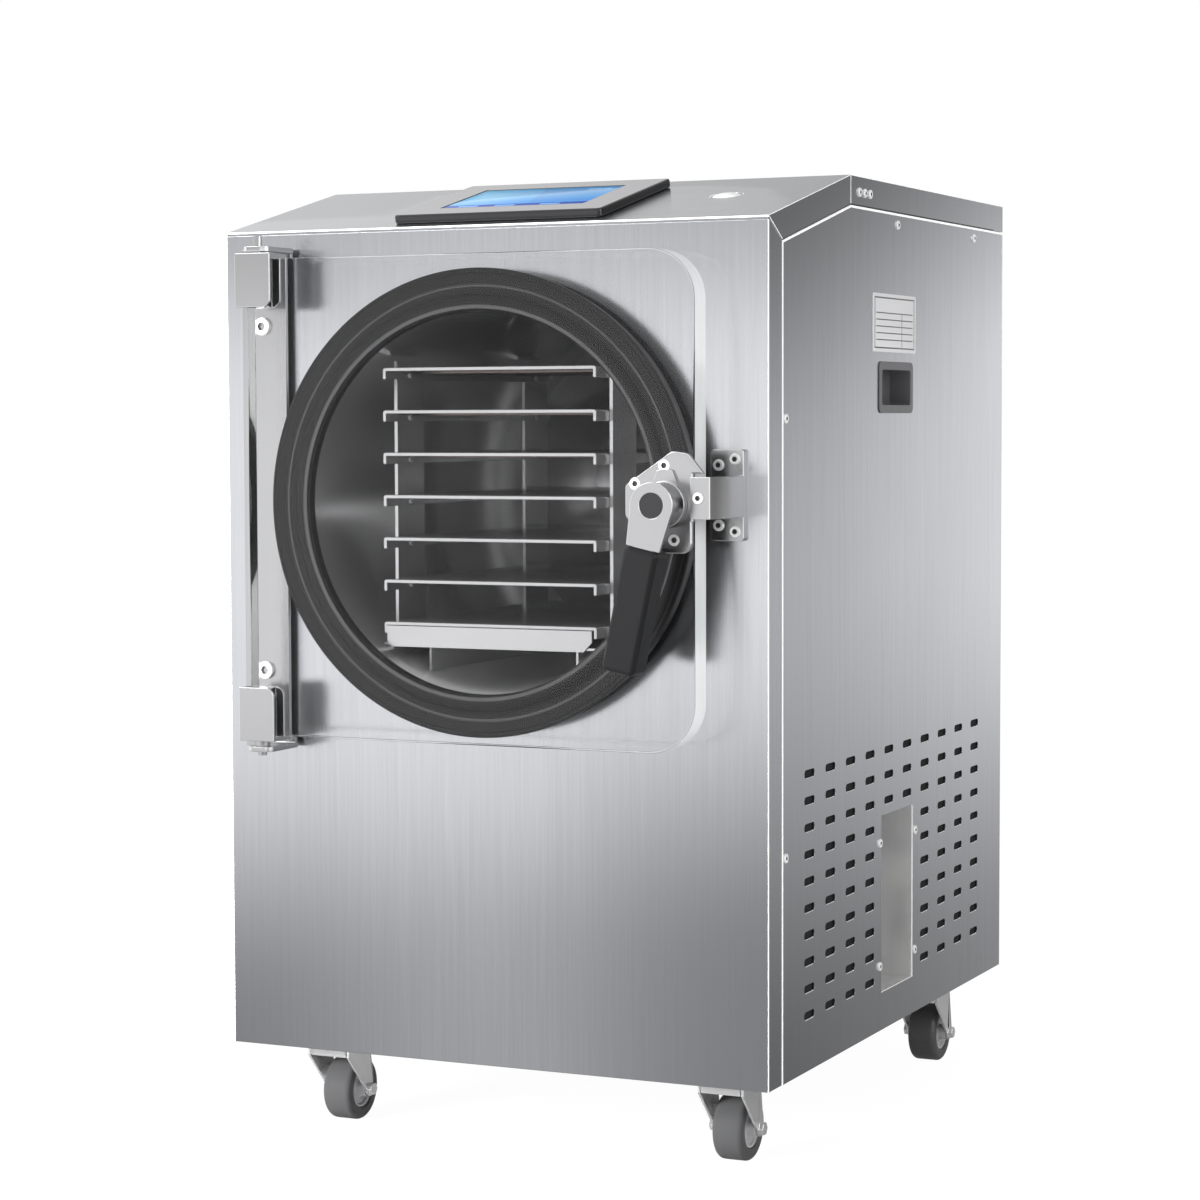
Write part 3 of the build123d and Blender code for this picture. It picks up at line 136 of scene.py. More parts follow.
def make_brushed_grain():
    """Long fine scratches on a slow cloud of tone; Grain is scratches per metre on each axis."""
    tree, given, result = effect_group(
        "brushed_grain",
        [
            ("Grain", "NodeSocketVector", (900, 900, 8)),
            ("Contrast", "NodeSocketFloat", 0.12),
            ("Cloud", "NodeSocketFloat", 0.04),
        ],
    )
    place = object_place(tree)
    scaled = add_node(tree, "ShaderNodeVectorMath", operation="MULTIPLY")
    link(tree, place, scaled.inputs[0])
    link(tree, given.outputs["Grain"], scaled.inputs[1])
    fine = noise(tree, scaled.outputs[0], Scale=1.0, Detail=3.0, Roughness=0.65)
    wide = noise(tree, scaled.outputs[0], Scale=0.42, Detail=2.0, Roughness=0.5)
    cloud = noise(tree, place, Scale=5.0, Detail=2.0, Roughness=0.5)
    height, centred = average(tree, 0.4, fine, wide)
    streak = arithmetic(tree, "MULTIPLY", centred, given.outputs["Contrast"])
    drift = arithmetic(tree, "SUBTRACT", cloud.outputs["Fac"], 0.5)
    slow = arithmetic(tree, "MULTIPLY", drift, given.outputs["Cloud"])
    total = arithmetic(tree, "ADD", streak, slow)
    link(tree, arithmetic(tree, "ADD", total, 0.5), result.inputs["Tone"])
    link(tree, height, result.inputs["Height"])
    return tree


def make_fine_mottle():
    """Isotropic speckle for moulded, cast, painted and satin surfaces."""
    tree, given, result = effect_group(
        "fine_mottle",
        [("Scale", "NodeSocketFloat", 900.0), ("Contrast", "NodeSocketFloat", 0.1)],
    )
    place = object_place(tree)
    fine = noise(tree, place, Detail=4.0, Roughness=0.6)
    link(tree, given.outputs["Scale"], fine.inputs["Scale"])
    slow = noise(tree, place, Scale=28.0, Detail=3.0, Roughness=0.55)
    centred = average(tree, 0.5, fine, slow)[1]
    tone = arithmetic(tree, "MULTIPLY_ADD", centred, given.outputs["Contrast"], 0.5)
    link(tree, tone, result.inputs["Tone"])
    link(tree, fine.outputs["Fac"], result.inputs["Height"])
    return tree


brushed_grain = make_brushed_grain()
fine_mottle = make_fine_mottle()


def shader_of(material):
    return material.node_tree.nodes["Principled BSDF"]


def start_material(name, **values):
    """A new material, its tree and its shader, with the shader's inputs set by name."""
    made = bpy.data.materials.new(name)
    made.use_nodes = True
    shader = shader_of(made)
    set_inputs(shader, **values)
    return made, made.node_tree, shader


def use_effect(tree, group, **values):
    effect = add_node(tree, "ShaderNodeGroup", node_tree=group)
    set_inputs(effect, **values)
    return effect


def lay_over(tree, under, mask, tint):
    """The colour under, with a tint laid over it where the mask is 1."""
    mix = add_node(tree, "ShaderNodeMix", data_type="RGBA")
    first, second = [socket for socket in mix.inputs if socket.type == "RGBA"]
    if isinstance(under, tuple):
        first.default_value = (*under, 1)
    else:
        link(tree, under, first)
    second.default_value = (*tint, 1)
    link(tree, mask, mix.inputs[0])
    return next(socket for socket in mix.outputs if socket.type == "RGBA")


def range_from(tree, tone, low, high, target):
    span = add_node(tree, "ShaderNodeMapRange", To_Min=low, To_Max=high)
    link(tree, tone, span.inputs["Value"])
    link(tree, span.outputs["Result"], target)


def finish_surface(tree, effect, shader, tint, spread, roughness, swing, depth):
    """Colour, gloss and height from an effect: tint and roughness vary by a share each way."""
    tone = effect.outputs["Tone"]
    dark = tuple(value * (1 - spread) for value in tint)
    light = [min(1, value * (1 + spread)) for value in tint]
    link(tree, lay_over(tree, dark, tone, light), shader.inputs["Base Color"])
    rough, smooth = roughness * (1 + swing), roughness * (1 - swing)
    range_from(tree, tone, rough, smooth, shader.inputs["Roughness"])
    bump = add_node(tree, "ShaderNodeBump", Strength=1.0, Distance=depth)
    link(tree, effect.outputs["Height"], bump.inputs["Height"])
    link(tree, bump.outputs["Normal"], shader.inputs["Normal"])


def brushed(
    name, tint, grain, roughness, contrast=0.5, cloud=0.3, anisotropy=0.75, tangent=None, metal=1.0
):
    """Brushed sheet: scratches, a slow cloud of tone and a lobe that is wide across the grain."""
    made, tree, shader = start_material(name, Metallic=metal, Anisotropic=anisotropy)
    effect = use_effect(tree, brushed_grain, Grain=grain, Contrast=contrast, Cloud=cloud)
    finish_surface(tree, effect, shader, tint, 0.14, roughness, swing=0.25, depth=0.00001)
    if tangent:
        along = add_node(tree, "ShaderNodeCombineXYZ", X=tangent[0], Y=tangent[1], Z=tangent[2])
        link(tree, along.outputs[0], shader.inputs["Tangent"])
    return made


def plain(
    name, tint, roughness,
    metallic=0.0, contrast=0.4, scale=900, depth=0.00001, spread=0.2, specular=0.5,
):
    """Moulded, cast, plated or painted surface with a fine mottle in colour, gloss and height."""
    made, tree, shader = start_material(name, Metallic=metallic, Specular_IOR_Level=specular)
    effect = use_effect(tree, fine_mottle, Scale=scale, Contrast=contrast)
    finish_surface(tree, effect, shader, tint, spread, roughness, swing=0.2, depth=depth)
    return made


def inside(tree, value, low, high):
    """1 while the value lies between two limits."""
    over = arithmetic(tree, "GREATER_THAN", value, low)
    return arithmetic(tree, "MULTIPLY", over, arithmetic(tree, "LESS_THAN", value, high))


def patch(tree, u, v, left_u, right_u, low_v, high_v):
    """1 inside a rectangle of the piece's own UV map."""
    across = inside(tree, u, left_u, right_u)
    return arithmetic(tree, "MULTIPLY", across, inside(tree, v, low_v, high_v))


def read_map(tree):
    place = add_node(tree, "ShaderNodeUVMap", uv_map="face_map")
    return split_axes(tree, place.outputs["UV"])[:2]


def drum_steel():
    """Polished drum whose end wall and floor are duller than the rest."""
    made = brushed("chamber_steel", (0.74, 0.74, 0.745), (60, 900, 60), 0.13, anisotropy=0.3)
    tree = made.node_tree
    place = split_axes(tree, object_place(tree))
    end = slide(tree, place[1], chamber_high.y - 40 * mm, chamber_high.y - 15 * mm)
    floor_z = chamber_z - 145 * mm
    floor = slide(tree, place[2], floor_z + 15 * mm, floor_z)
    dull = arithmetic(tree, "MAXIMUM", end, floor)
    metal = arithmetic(tree, "MULTIPLY_ADD", dull, -0.8, 0.85)
    link(tree, metal, shader_of(made).inputs["Metallic"])
    return made


def touch_screen():
    """Lit glass with plain fields of colour: two panes, a bottom bar and a row of blank keys."""
    made, tree, shader = start_material(
        "screen_glass", Roughness=0.12, Specular_IOR_Level=0.12, Emission_Strength=0.45
    )
    u, v = read_map(tree)
    slant = arithmetic(tree, "MULTIPLY_ADD", v, 0.16, u)
    layers = [
        (slide(tree, u, 0.0, 0.62, 0.75, 0.0), (0.14, 0.41, 0.62)),
        (arithmetic(tree, "GREATER_THAN", slant, 0.60), (0.045, 0.22, 0.47)),
        (slide(tree, v, 0.55, 0.22, 0.0, 0.45), (0.02, 0.10, 0.36)),
        (patch(tree, u, v, 0.0, 1.0, 0.0, 0.15), (0.01, 0.045, 0.22)),
    ]
    for start in (0.10, 0.36, 0.68):
        layers.append((patch(tree, u, v, start, start + 0.14, 0.045, 0.105), (0.10, 0.25, 0.52)))
    layers.append((patch(tree, u, v, 0.78, 0.95, 0.84, 0.90), (0.20, 0.42, 0.68)))
    colour = (0.05, 0.25, 0.50)
    for mask, tint in layers:
        colour = lay_over(tree, colour, mask, tint)
    link(tree, colour, shader.inputs["Base Color"])
    link(tree, colour, shader.inputs["Emission Color"])
    return made


def ruled_vinyl():
    """Pale printed label left blank: a thin frame, a head space, ruled rows and one column line."""
    made, tree, shader = start_material("label_vinyl", Roughness=0.45)
    u, v = read_map(tree)
    inner = patch(tree, u, v, 0.04, 0.96, 0.06, 0.94)
    clear = patch(tree, u, v, 0.053, 0.947, 0.085, 0.915)
    lines = [arithmetic(tree, "SUBTRACT", inner, clear)]
    for row in range(5):
        height = 0.20 + 0.115 * row
        lines.append(patch(tree, u, v, 0.08, 0.92, height, height + 0.02))
    lines.append(patch(tree, u, v, 0.66, 0.672, 0.10, 0.66))
    colour = (0.60, 0.60, 0.61)
    for line in lines:
        colour = lay_over(tree, colour, line, (0.10, 0.10, 0.105))
    link(tree, colour, shader.inputs["Base Color"])
    return made


def clear_acrylic():
    made, tree, shader = start_material(
        "clear_acrylic",
        Base_Color=(1, 1, 1, 1),
        Transmission_Weight=1.0,
        IOR=1.49,
        Specular_Tint=(0.2, 0.2, 0.2, 1),
    )
    tone = use_effect(tree, fine_mottle, Scale=60, Contrast=0.5).outputs["Tone"]
    range_from(tree, tone, 0.0, 0.02, shader.inputs["Roughness"])
    return made


def acrylic_edge_highlight():
    """The door's sawn and polished rim, painted whiter than its faces as a painted highlight for
    the light it gathers.
    """
    made, tree, shader = start_material("acrylic_edge_highlight", Roughness=0.18)
    effect = use_effect(tree, brushed_grain, Grain=(40, 900, 40), Contrast=0.6, Cloud=0.5)
    tone = effect.outputs["Tone"]
    tint = lay_over(tree, (0.74, 0.76, 0.76), tone, (0.93, 0.95, 0.95))
    link(tree, tint, shader.inputs["Base Color"])
    range_from(tree, tone, 0.62, 0.86, shader.inputs["Alpha"])
    return made


steel_tint = (0.66, 0.67, 0.695)
vertical_grain = (620, 620, 9)
cross_grain = (9, 620, 9)
sheet_steel = brushed("sheet_steel", steel_tint, vertical_grain, 0.2, contrast=0.8, anisotropy=0.5)
hood_steel = brushed(
    "hood_steel", (0.57, 0.58, 0.60), cross_grain, 0.2,
    contrast=0.7, anisotropy=0.5, tangent=(0, 1, 0),
)
# Painted highlight: a near-white colour for the light that cut edges, slot lips, hems and folds
# catch.
edge_highlight = plain("edge_highlight", (0.97, 0.97, 0.975), 0.3, metallic=0.3, spread=0.03)
# Painted highlight: a lighter copy of the satin steel for the front-facing rounded edges of the
# fittings.
rim_highlight = plain("rim_highlight", (0.84, 0.84, 0.845), 0.2, metallic=0.95, spread=0.05, depth=0.000002)
socket_shade = plain("socket_shade", (0.03, 0.03, 0.032), 0.5)
satin_steel = plain(
    "satin_steel", (0.56, 0.56, 0.565), 0.24, metallic=1.0, spread=0.08, depth=0.000003
)
chamber_steel = drum_steel()
rack_steel = brushed(
    "rack_steel", (0.54, 0.54, 0.545), (10, 500, 500), 0.25, anisotropy=0.3, metal=0.9
)
pocket_steel = brushed(
    "pocket_steel", (0.74, 0.74, 0.735), (300, 300, 8), 0.2, anisotropy=0.2, metal=0.55
)
screw_steel = plain("screw_steel", (0.93, 0.93, 0.935), 0.22, metallic=0.4, spread=0.04)
zinc = plain(
    "zinc", (0.86, 0.86, 0.865), 0.24, metallic=0.8, scale=240, contrast=0.5, depth=0.000004
)
galvanised = plain("galvanised", (0.45, 0.46, 0.48), 0.45, metallic=1.0, scale=60, contrast=0.9)
chrome = plain("chrome", (0.80, 0.81, 0.83), 0.07, metallic=1.0, spread=0.04)
nickel = plain("nickel", (0.60, 0.60, 0.61), 0.2, metallic=1.0, spread=0.08)
acrylic = clear_acrylic()
edge_acrylic = acrylic_edge_highlight()
seal_rubber = plain(
    "seal_rubber", (0.008, 0.008, 0.0082), 0.3, contrast=0.06, depth=0.000001, specular=0.26
)
# Painted highlight: a lighter copy of the seal rubber for the gasket's rounded lip and step.
lip_highlight_rubber = plain("lip_highlight_rubber", (0.035, 0.035, 0.036), 0.3, contrast=0.06, depth=0.000001)
hub_plastic = plain("hub_plastic", (0.42, 0.42, 0.43), 0.4, contrast=0.6, scale=500)
wheel_rubber = plain("wheel_rubber", (0.068, 0.068, 0.070), 0.45, contrast=0.8, scale=500)
foam = plain("foam", (0.75, 0.70, 0.52), 0.9, contrast=0.8, scale=300, depth=0.0003)
filter_mat = plain(
    "filter_mat", (0.012, 0.012, 0.013), 0.9,
    contrast=1.0, scale=700, depth=0.0002, specular=0.25,
)
copper = plain("copper", (0.72, 0.38, 0.24), 0.3, metallic=1.0)
heater_mat = plain("heater_mat", (0.07, 0.055, 0.05), 0.6)
black_plastic = plain(
    "black_plastic", (0.008, 0.008, 0.0086), 0.38, contrast=0.8, scale=1400, specular=0.25
)
bezel_plastic = plain("bezel_plastic", (0.012, 0.012, 0.013), 0.12)
# Painted reflection: a grey copy of the black bezel plastic for the frame's top face.
bezel_top_reflection = plain("bezel_top_reflection", (0.27, 0.27, 0.28), 0.2, contrast=0.2)
button_cap = plain("button_cap", (0.86, 0.86, 0.86), 0.25, metallic=0.4, spread=0.05)
grey_plastic = plain("grey_plastic", (0.10, 0.10, 0.105), 0.4, contrast=0.8, scale=1400)
dark_paint = plain("dark_paint", (0.02, 0.02, 0.022), 0.35)
label_vinyl = ruled_vinyl()
screen_glass = touch_screen()
fin_metal = brushed("fin_metal", (0.6, 0.61, 0.62), (10, 900, 900), 0.35)
# The painted edge highlight also glows a little, though it is no lamp.
set_inputs(shader_of(edge_highlight), Emission_Color=(1, 1, 1, 1), Emission_Strength=0.22)


finishes = {
    sheet_steel: ["front_panel", "side_panel_right", "side_panel_left", "rear_panel"],
    hood_steel: ["hood"],
    galvanised: ["base_pan", "control_box", "fan_shroud"],
    chamber_steel: ["vacuum_chamber"],
    copper: ["evaporator_coil"],
    foam: ["chamber_insulation"],
    seal_rubber: ["door_gasket"],
    rack_steel: ["rack_frame"] + [f"shelf_{number}" for number in range(1, 8)],
    heater_mat: ["shelf_heaters"],
    screw_steel: [
        f"{fixed}_screws" for fixed in ("shelf", "hinge_bar", "keeper", "latch", "panel")
    ],
    satin_steel: [
        "hinge_bar", "keeper", "hinge_clip_upper", "hinge_clip_lower",
        "latch_plate", "latch_handle", "hinge_pins",
    ],
    bezel_plastic: ["display_housing", "hub_cap"],
    chrome: ["button_housing", "push_button"],
    black_plastic: ["handle_grip", "power_inlet", "fan_rotor", "drain_lever"],
    pocket_steel: ["connection_pocket"],
    nickel: ["vacuum_port", "drain_valve"],
    dark_paint: ["compressor"],
    fin_metal: ["condenser"],
    zinc: ["caster_plates"],
    acrylic: ["door_plate"],
    grey_plastic: ["pull_handle_right", "pull_handle_left"],
    screen_glass: ["display_screen"],
    label_vinyl: ["label_plate"],
}
corners = ("front_right", "front_left", "rear_right", "rear_left")
for corner in corners:
    finishes[zinc].append(f"caster_fork_{corner}")
finishes[wheel_rubber] = [f"caster_wheel_{corner}" for corner in corners]
for finish, names in finishes.items():
    for name in names:
        cad[name].data.materials.clear()
        cad[name].data.materials.append(finish)


# ------------------------------------------------------------------ shaping helpers
scene = bpy.context.scene
bodies = frame["record"]["behaviour"]["bodies"]
body_of = {name: body for body, names in bodies.items() for name in names}


def show(name, mesh, finish, body, stands_for=()):
    """Puts a finished mesh on a body, with its finish and the CAD nodes it stands for."""
    piece = bpy.data.objects.new(name, mesh)
    scene.collection.objects.link(piece)
    mesh.materials.clear()
    mesh.materials.append(finish)
    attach(piece, body)
    if stands_for:
        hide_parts(*stands_for)
    return piece


def mesh_from(shape, name, corner=32):
    """A plain mesh from a bmesh, smooth except at its corners."""
    mesh = bpy.data.meshes.new(name)
    shape.normal_update()
    shape.to_mesh(mesh)
    shape.free()
    mesh.shade_smooth()
    mesh.set_sharp_from_angle(angle=math.radians(corner))
    return mesh


def weigh_normals(mesh):
    """Gives wide flat faces the say over the normals along their rounded edges."""
    carrier = bpy.data.objects.new("carrier", mesh)
    scene.collection.objects.link(carrier)
    weigh = carrier.modifiers.new("weigh", "WEIGHTED_NORMAL")
    weigh.keep_sharp = True
    weigh.weight = 100
    bpy.context.view_layer.update()
    whole = carrier.evaluated_get(bpy.context.evaluated_depsgraph_get())
    result = bpy.data.meshes.new_from_object(whole)
    bpy.data.objects.remove(carrier)
    return result


def round_over(shape, width, segments=2):
    """Rounds the edges that turn by more than 35 degrees."""
    turn = math.radians(35)
    sharp = [edge for edge in shape.edges if edge.is_manifold and edge.calc_face_angle(0) > turn]
    bmesh.ops.bevel(
        shape,
        geom=sharp,
        offset=width,
        offset_type="OFFSET",
        segments=segments,
        profile=0.5,
        affect="EDGES",
        clamp_overlap=False,
    )


def welded(node):
    """A CAD node's mesh with its doubled points joined."""
    shape = bmesh.new()
    shape.from_mesh(cad[node].data)
    bmesh.ops.remove_doubles(shape, verts=shape.verts, dist=0.002 * mm)
    return shape


def copy_of(node):
    """A welded copy of a CAD node, its flat faces made whole again."""
    shape = welded(node)
    bmesh.ops.dissolve_limit(
        shape, angle_limit=math.radians(0.5), verts=shape.verts, edges=shape.edges
    )
    return shape


def eased(node, name, finish, width, segments=2):
    """A CAD node remade with its sharp edges rounded over."""
    shape = copy_of(node)
    round_over(shape, width * mm, segments)
    mesh = weigh_normals(mesh_from(shape, name, 40))
    return show(name, mesh, finish, body_of[node], [node])


def soften(points, radius, steps=5):
    """A closed outline with its corners rounded. Radius is one number or one for each corner."""
    count = len(points)
    radii = [radius] * count if isinstance(radius, (int, float)) else radius
    result = []
    for number in range(count):
        here = Vector(points[number])
        before = Vector(points[number - 1]) - here
        after = Vector(points[(number + 1) % count]) - here
        opening = before.angle(after)
        reach = radii[number] / math.tan(opening / 2) if opening < math.pi - 0.01 else 0
        reach = min(reach, before.length * 0.48, after.length * 0.48)
        if reach < 1e-6:
            result.append(tuple(here))
            continue
        bow = reach * math.tan(opening / 2)
        start = here + before.normalized() * reach
        middle = here + (before.normalized() + after.normalized()).normalized() * (
            bow / math.sin(opening / 2)
        )
        spoke = start - middle
        end_spoke = here + after.normalized() * reach - middle
        swing = spoke.angle_signed(end_spoke)
        for step in range(steps + 1):
            angle = -swing * step / steps
            along = spoke.x * math.cos(angle) - spoke.y * math.sin(angle)
            across = spoke.x * math.sin(angle) + spoke.y * math.cos(angle)
            result.append(tuple(middle + Vector((along, across))))
    return result


def band_into(shape, near, far):
    """Joins two rings of points with a band of faces."""
    for number in range(len(near)):
        following = (number + 1) % len(near)
        shape.faces.new((near[number], near[following], far[following], far[number]))


def lathe(profile, centre, axis, steps=96):
    """A closed profile of (radius, distance along) in mm, turned round the axis through centre."""
    shape = bmesh.new()
    turn = Vector(axis).to_track_quat("Z", "Y").to_matrix()
    rings = []
    for step in range(steps):
        angle = math.tau * step / steps
        ring = []
        for radius, along in profile:
            spoke = Vector((radius * math.cos(angle), radius * math.sin(angle), along))
            ring.append(shape.verts.new(Vector(centre) + turn @ spoke * mm))
        rings.append(ring)
    for step in range(steps):
        band_into(shape, rings[step], rings[(step + 1) % steps])
    bmesh.ops.remove_doubles(shape, verts=shape.verts, dist=0.001 * mm)
    bmesh.ops.recalc_face_normals(shape, faces=shape.faces)
    return shape


def block_into(shape, low, high):
    """Adds a box between two corners."""
    made = bmesh.ops.create_cube(shape, size=1.0)
    size = Vector(high) - Vector(low)
    centre = (Vector(high) + Vector(low)) / 2
    for vertex in made["verts"]:
        place = vertex.co
        vertex.co = Vector((place.x * size.x, place.y * size.y, place.z * size.z)) + centre


def slab_into(shape, near_x, far_x, corners):
    """Adds a flat prism between two upright planes; its corners are (y, z)."""
    near = [shape.verts.new((near_x, y, z)) for y, z in corners]
    far = [shape.verts.new((far_x, y, z)) for y, z in corners]
    band_into(shape, near, far)
    shape.faces.new(near)
    shape.faces.new(far)
    bmesh.ops.recalc_face_normals(shape, faces=shape.faces)


def coat_faces(piece, chosen, finish):
    """Gives the chosen faces of a piece another finish."""
    mesh = piece.data
    if finish not in list(mesh.materials):
        mesh.materials.append(finish)
    number = list(mesh.materials).index(finish)
    for face in mesh.polygons:
        if chosen(face):
            face.material_index = number


# ------------------------------------------------------------------ screws
head_steps = 24


def socket_head(name, radius, height, socket=0.5):
    """Button-head screw with a hexagon socket; its seat is at the origin and it faces +Z.

    Its last faces are the walls of the socket, the socket's floor and the seat.
    """
    shape = bmesh.new()
    levels = [
        (radius, 0, False),
        (radius, height * 0.55, False),
        (radius * 0.95, height * 0.82, False),
        (radius * 0.84, height, False),
        (radius * (socket + 0.08), height, False),
        (radius * socket, height * 0.92, True),
        (radius * socket, height * 0.3, True),
    ]
    sixth = math.pi / 3
    rings = []
    for reach, level, is_hexagon in levels:
        ring = []
        for step in range(head_steps):
            angle = math.tau * step / head_steps
            bulge = math.cos(sixth / 2) / math.cos(angle % sixth - sixth / 2)
            length = reach * (bulge if is_hexagon else 1)
            point = Vector((length * math.cos(angle), length * math.sin(angle), level))
            ring.append(shape.verts.new(point * mm))
        rings.append(ring)
    for near, far in zip(rings, rings[1:]):
        band_into(shape, near, far)
    shape.faces.new(rings[-1])
    shape.faces.new(list(reversed(rings[0])))
    return bpy.data.objects.new(name, mesh_from(shape, name, 30))


def make_screw_setter():
    """Geometry tree: one head on every point, turned to the point's facing."""
    tree = bpy.data.node_groups.new("screw_setter", "GeometryNodeTree")
    for name, end, kind in (
        ("Places", "INPUT", "Geometry"),
        ("Head", "INPUT", "Object"),
        ("Finish", "INPUT", "Material"),
        ("Screws", "OUTPUT", "Geometry"),
    ):
        tree.interface.new_socket(name, in_out=end, socket_type=f"NodeSocket{kind}")
    given, result = tree.nodes.new("NodeGroupInput"), tree.nodes.new("NodeGroupOutput")
    head = tree.nodes.new("GeometryNodeObjectInfo")
    link(tree, given.outputs["Head"], head.inputs["Object"])
    facing = tree.nodes.new("GeometryNodeInputNamedAttribute")
    facing.data_type = "FLOAT_VECTOR"
    facing.inputs["Name"].default_value = "facing"
    align = tree.nodes.new("FunctionNodeAlignRotationToVector")
    align.axis = "Z"
    link(tree, facing.outputs[0], align.inputs["Vector"])
    set_heads = tree.nodes.new("GeometryNodeInstanceOnPoints")
    link(tree, given.outputs["Places"], set_heads.inputs["Points"])
    link(tree, head.outputs["Geometry"], set_heads.inputs["Instance"])
    link(tree, align.outputs["Rotation"], set_heads.inputs["Rotation"])
    real = tree.nodes.new("GeometryNodeRealizeInstances")
    link(tree, set_heads.outputs["Instances"], real.inputs["Geometry"])
    coat = tree.nodes.new("GeometryNodeSetMaterial")
    link(tree, real.outputs["Geometry"], coat.inputs["Geometry"])
    link(tree, given.outputs["Finish"], coat.inputs["Material"])
    link(tree, coat.outputs["Geometry"], result.inputs["Screws"])
    return tree


screw_setter = make_screw_setter()


def set_on_points(node, name, head, places, socket_shade_or_metal=socket_shade):
    """One head for each screw of a CAD node; each place is a point and the way the head faces."""
    points = bpy.data.meshes.new(name)
    points.from_pydata([tuple(place) for place, facing in places], [], [])
    facings = points.attributes.new("facing", "FLOAT_VECTOR", "POINT")
    for number, (place, facing) in enumerate(places):
        facings.data[number].vector = facing
    carrier = bpy.data.objects.new("carrier", points)
    scene.collection.objects.link(carrier)
    setter = carrier.modifiers.new("setter", "NODES")
    setter.node_group = screw_setter
    sockets = {item.name: item.identifier for item in screw_setter.interface.items_tree}
    setter[sockets["Head"]] = head
    setter[sockets["Finish"]] = screw_steel
    bpy.context.view_layer.update()
    whole = carrier.evaluated_get(bpy.context.evaluated_depsgraph_get())
    mesh = bpy.data.meshes.new_from_object(whole)
    bpy.data.objects.remove(carrier)
    mesh.name = name
    piece = show(name, mesh, screw_steel, body_of[node], [node])
    count = len(head.data.polygons)
    first_wall, seat = count - head_steps - 2, count - 1
    # The socket's walls and floor take painted shade in near-black, or plain nickel where that is
    # given.
    coat_faces(piece, lambda face: first_wall <= face.index % count < seat, socket_shade_or_metal)


def islands(node):
    """Lowest and highest corner of each separate solid of a CAD node."""
    shape = welded(node)
    left = dict.fromkeys(shape.verts)
    found = []
    while left:
        grow = [left.popitem()[0]]
        members = []
        while grow:
            vertex = grow.pop()
            members.append(vertex.co.copy())
            for edge in vertex.link_edges:
                other = edge.other_vert(vertex)
                if other in left:
                    del left[other]
                    grow.append(other)
        low = Vector([min(point[axis] for point in members) for axis in range(3)])
        high = Vector([max(point[axis] for point in members) for axis in range(3)])
        found.append((low, high))
    shape.free()
    return found


front, back = Vector((0, -1, 0)), Vector((0, 1, 0))
right, left = Vector((1, 0, 0)), Vector((-1, 0, 0))


def set_screws():
    """The heads lie where the CAD screws have theirs: on the outer end of each solid."""
    radius, height = 4.1, 1.6
    head = socket_head("panel_head", radius, height, 0.42)
    seat = height * mm
    places = []
    for low, high in islands("panel_screws"):
        centre = (low + high) / 2
        if high.x > half_width + mm:
            places.append((Vector((high.x - seat, centre.y, centre.z)), right))
        elif low.x < -half_width - mm:
            places.append((Vector((low.x + seat, centre.y, centre.z)), left))
        else:
            places.append((Vector((centre.x, high.y - seat, centre.z)), back))
    set_on_points("panel_screws", "panel_screw_heads", head, places)
    for node, radius, height, socket_shade_or_metal in (
        ("hinge_bar_screws", 8, 4, nickel),
        ("keeper_screws", 4.8, 2, socket_shade),
        ("latch_screws", 5.2, 2.2, socket_shade),
    ):
        head = socket_head(node + "_head", radius, height)
        places = [
            (Vector(((low.x + high.x) / 2, low.y + height * mm, (low.z + high.z) / 2)), front)
            for low, high in islands(node)
        ]
        set_on_points(node, node + "_heads", head, places, socket_shade_or_metal)
    height = 1.4
    head = socket_head("shelf_screw_head", 2.4, height)
    places = []
    for low, high in islands("shelf_screws"):
        centre = (low + high) / 2
        inward = 1 if centre.x < chamber_x else -1
        seat = (high.x if inward > 0 else low.x) - inward * height * mm
        places.append((Vector((seat, centre.y, centre.z)), right * inward))
    set_on_points("shelf_screws", "shelf_screw_heads", head, places)


# ------------------------------------------------------------------ sheet metal
def slope_ends(node, side):
    """Height of a side panel's slope at the front, and the depth where it meets the level top."""
    low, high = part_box(node)
    points = outer_points(node, side)
    front_top = max(point.z for point in points if point.y < low.y + mm)
    crest_y = min(point.y for point in points if point.z > high.z - 0.1 * mm)
    return front_top, crest_y


def outer_points(node, side):
    """The points of a CAD node on its outermost face at one side."""
    places = [vertex.co for vertex in cad[node].data.vertices]
    outer = max(side * place.x for place in places)
    return [place for place in places if side * place.x > outer - 0.1 * mm]


def side_sheet(node, name, hem_highlight_name):
    """Side panel whose cut edges and slot lips carry a painted highlight, with a strip of painted
    highlight along the hem at its front and top.
    """
    low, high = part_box(node)
    side = 1 if high.x > 0 else -1
    outer = max(abs(low.x), abs(high.x))
    thickness = 1.5 * mm
    piece = eased(node, name, sheet_steel, 0.15)
    # Upward cut faces, such as the slots' lower lips, and the larger front-facing edge faces get
    # painted highlight.
    coat_faces(
        piece,
        lambda face: abs(face.center.x) > outer - thickness
        and (face.normal.z > 0.9 or (face.normal.y < -0.5 and face.area > 60 * mm * mm)),
        edge_highlight,
    )
    # The hem strips are painted highlight, standing just proud of the sheet.
    front_top, crest_y = slope_ends(node, side)
    width, proud = 2 * mm, 0.25 * mm
    rise = (high.z - front_top) / (crest_y - low.y)
    outline = [(low.y, low.z), (low.y, front_top), (crest_y, high.z), (high.y, high.z)]
    inner = [
        (low.y + width, low.z),
        (low.y + width, front_top - width + rise * width),
        (crest_y, high.z - width),
        (high.y, high.z - width),
    ]
    shape = bmesh.new()
    for number in range(3):
        corners = [outline[number], outline[number + 1], inner[number + 1], inner[number]]
        slab_into(shape, side * (outer - mm), side * (outer + proud), corners)
    show(hem_highlight_name, mesh_from(shape, hem_highlight_name), edge_highlight, body_of[node], ())


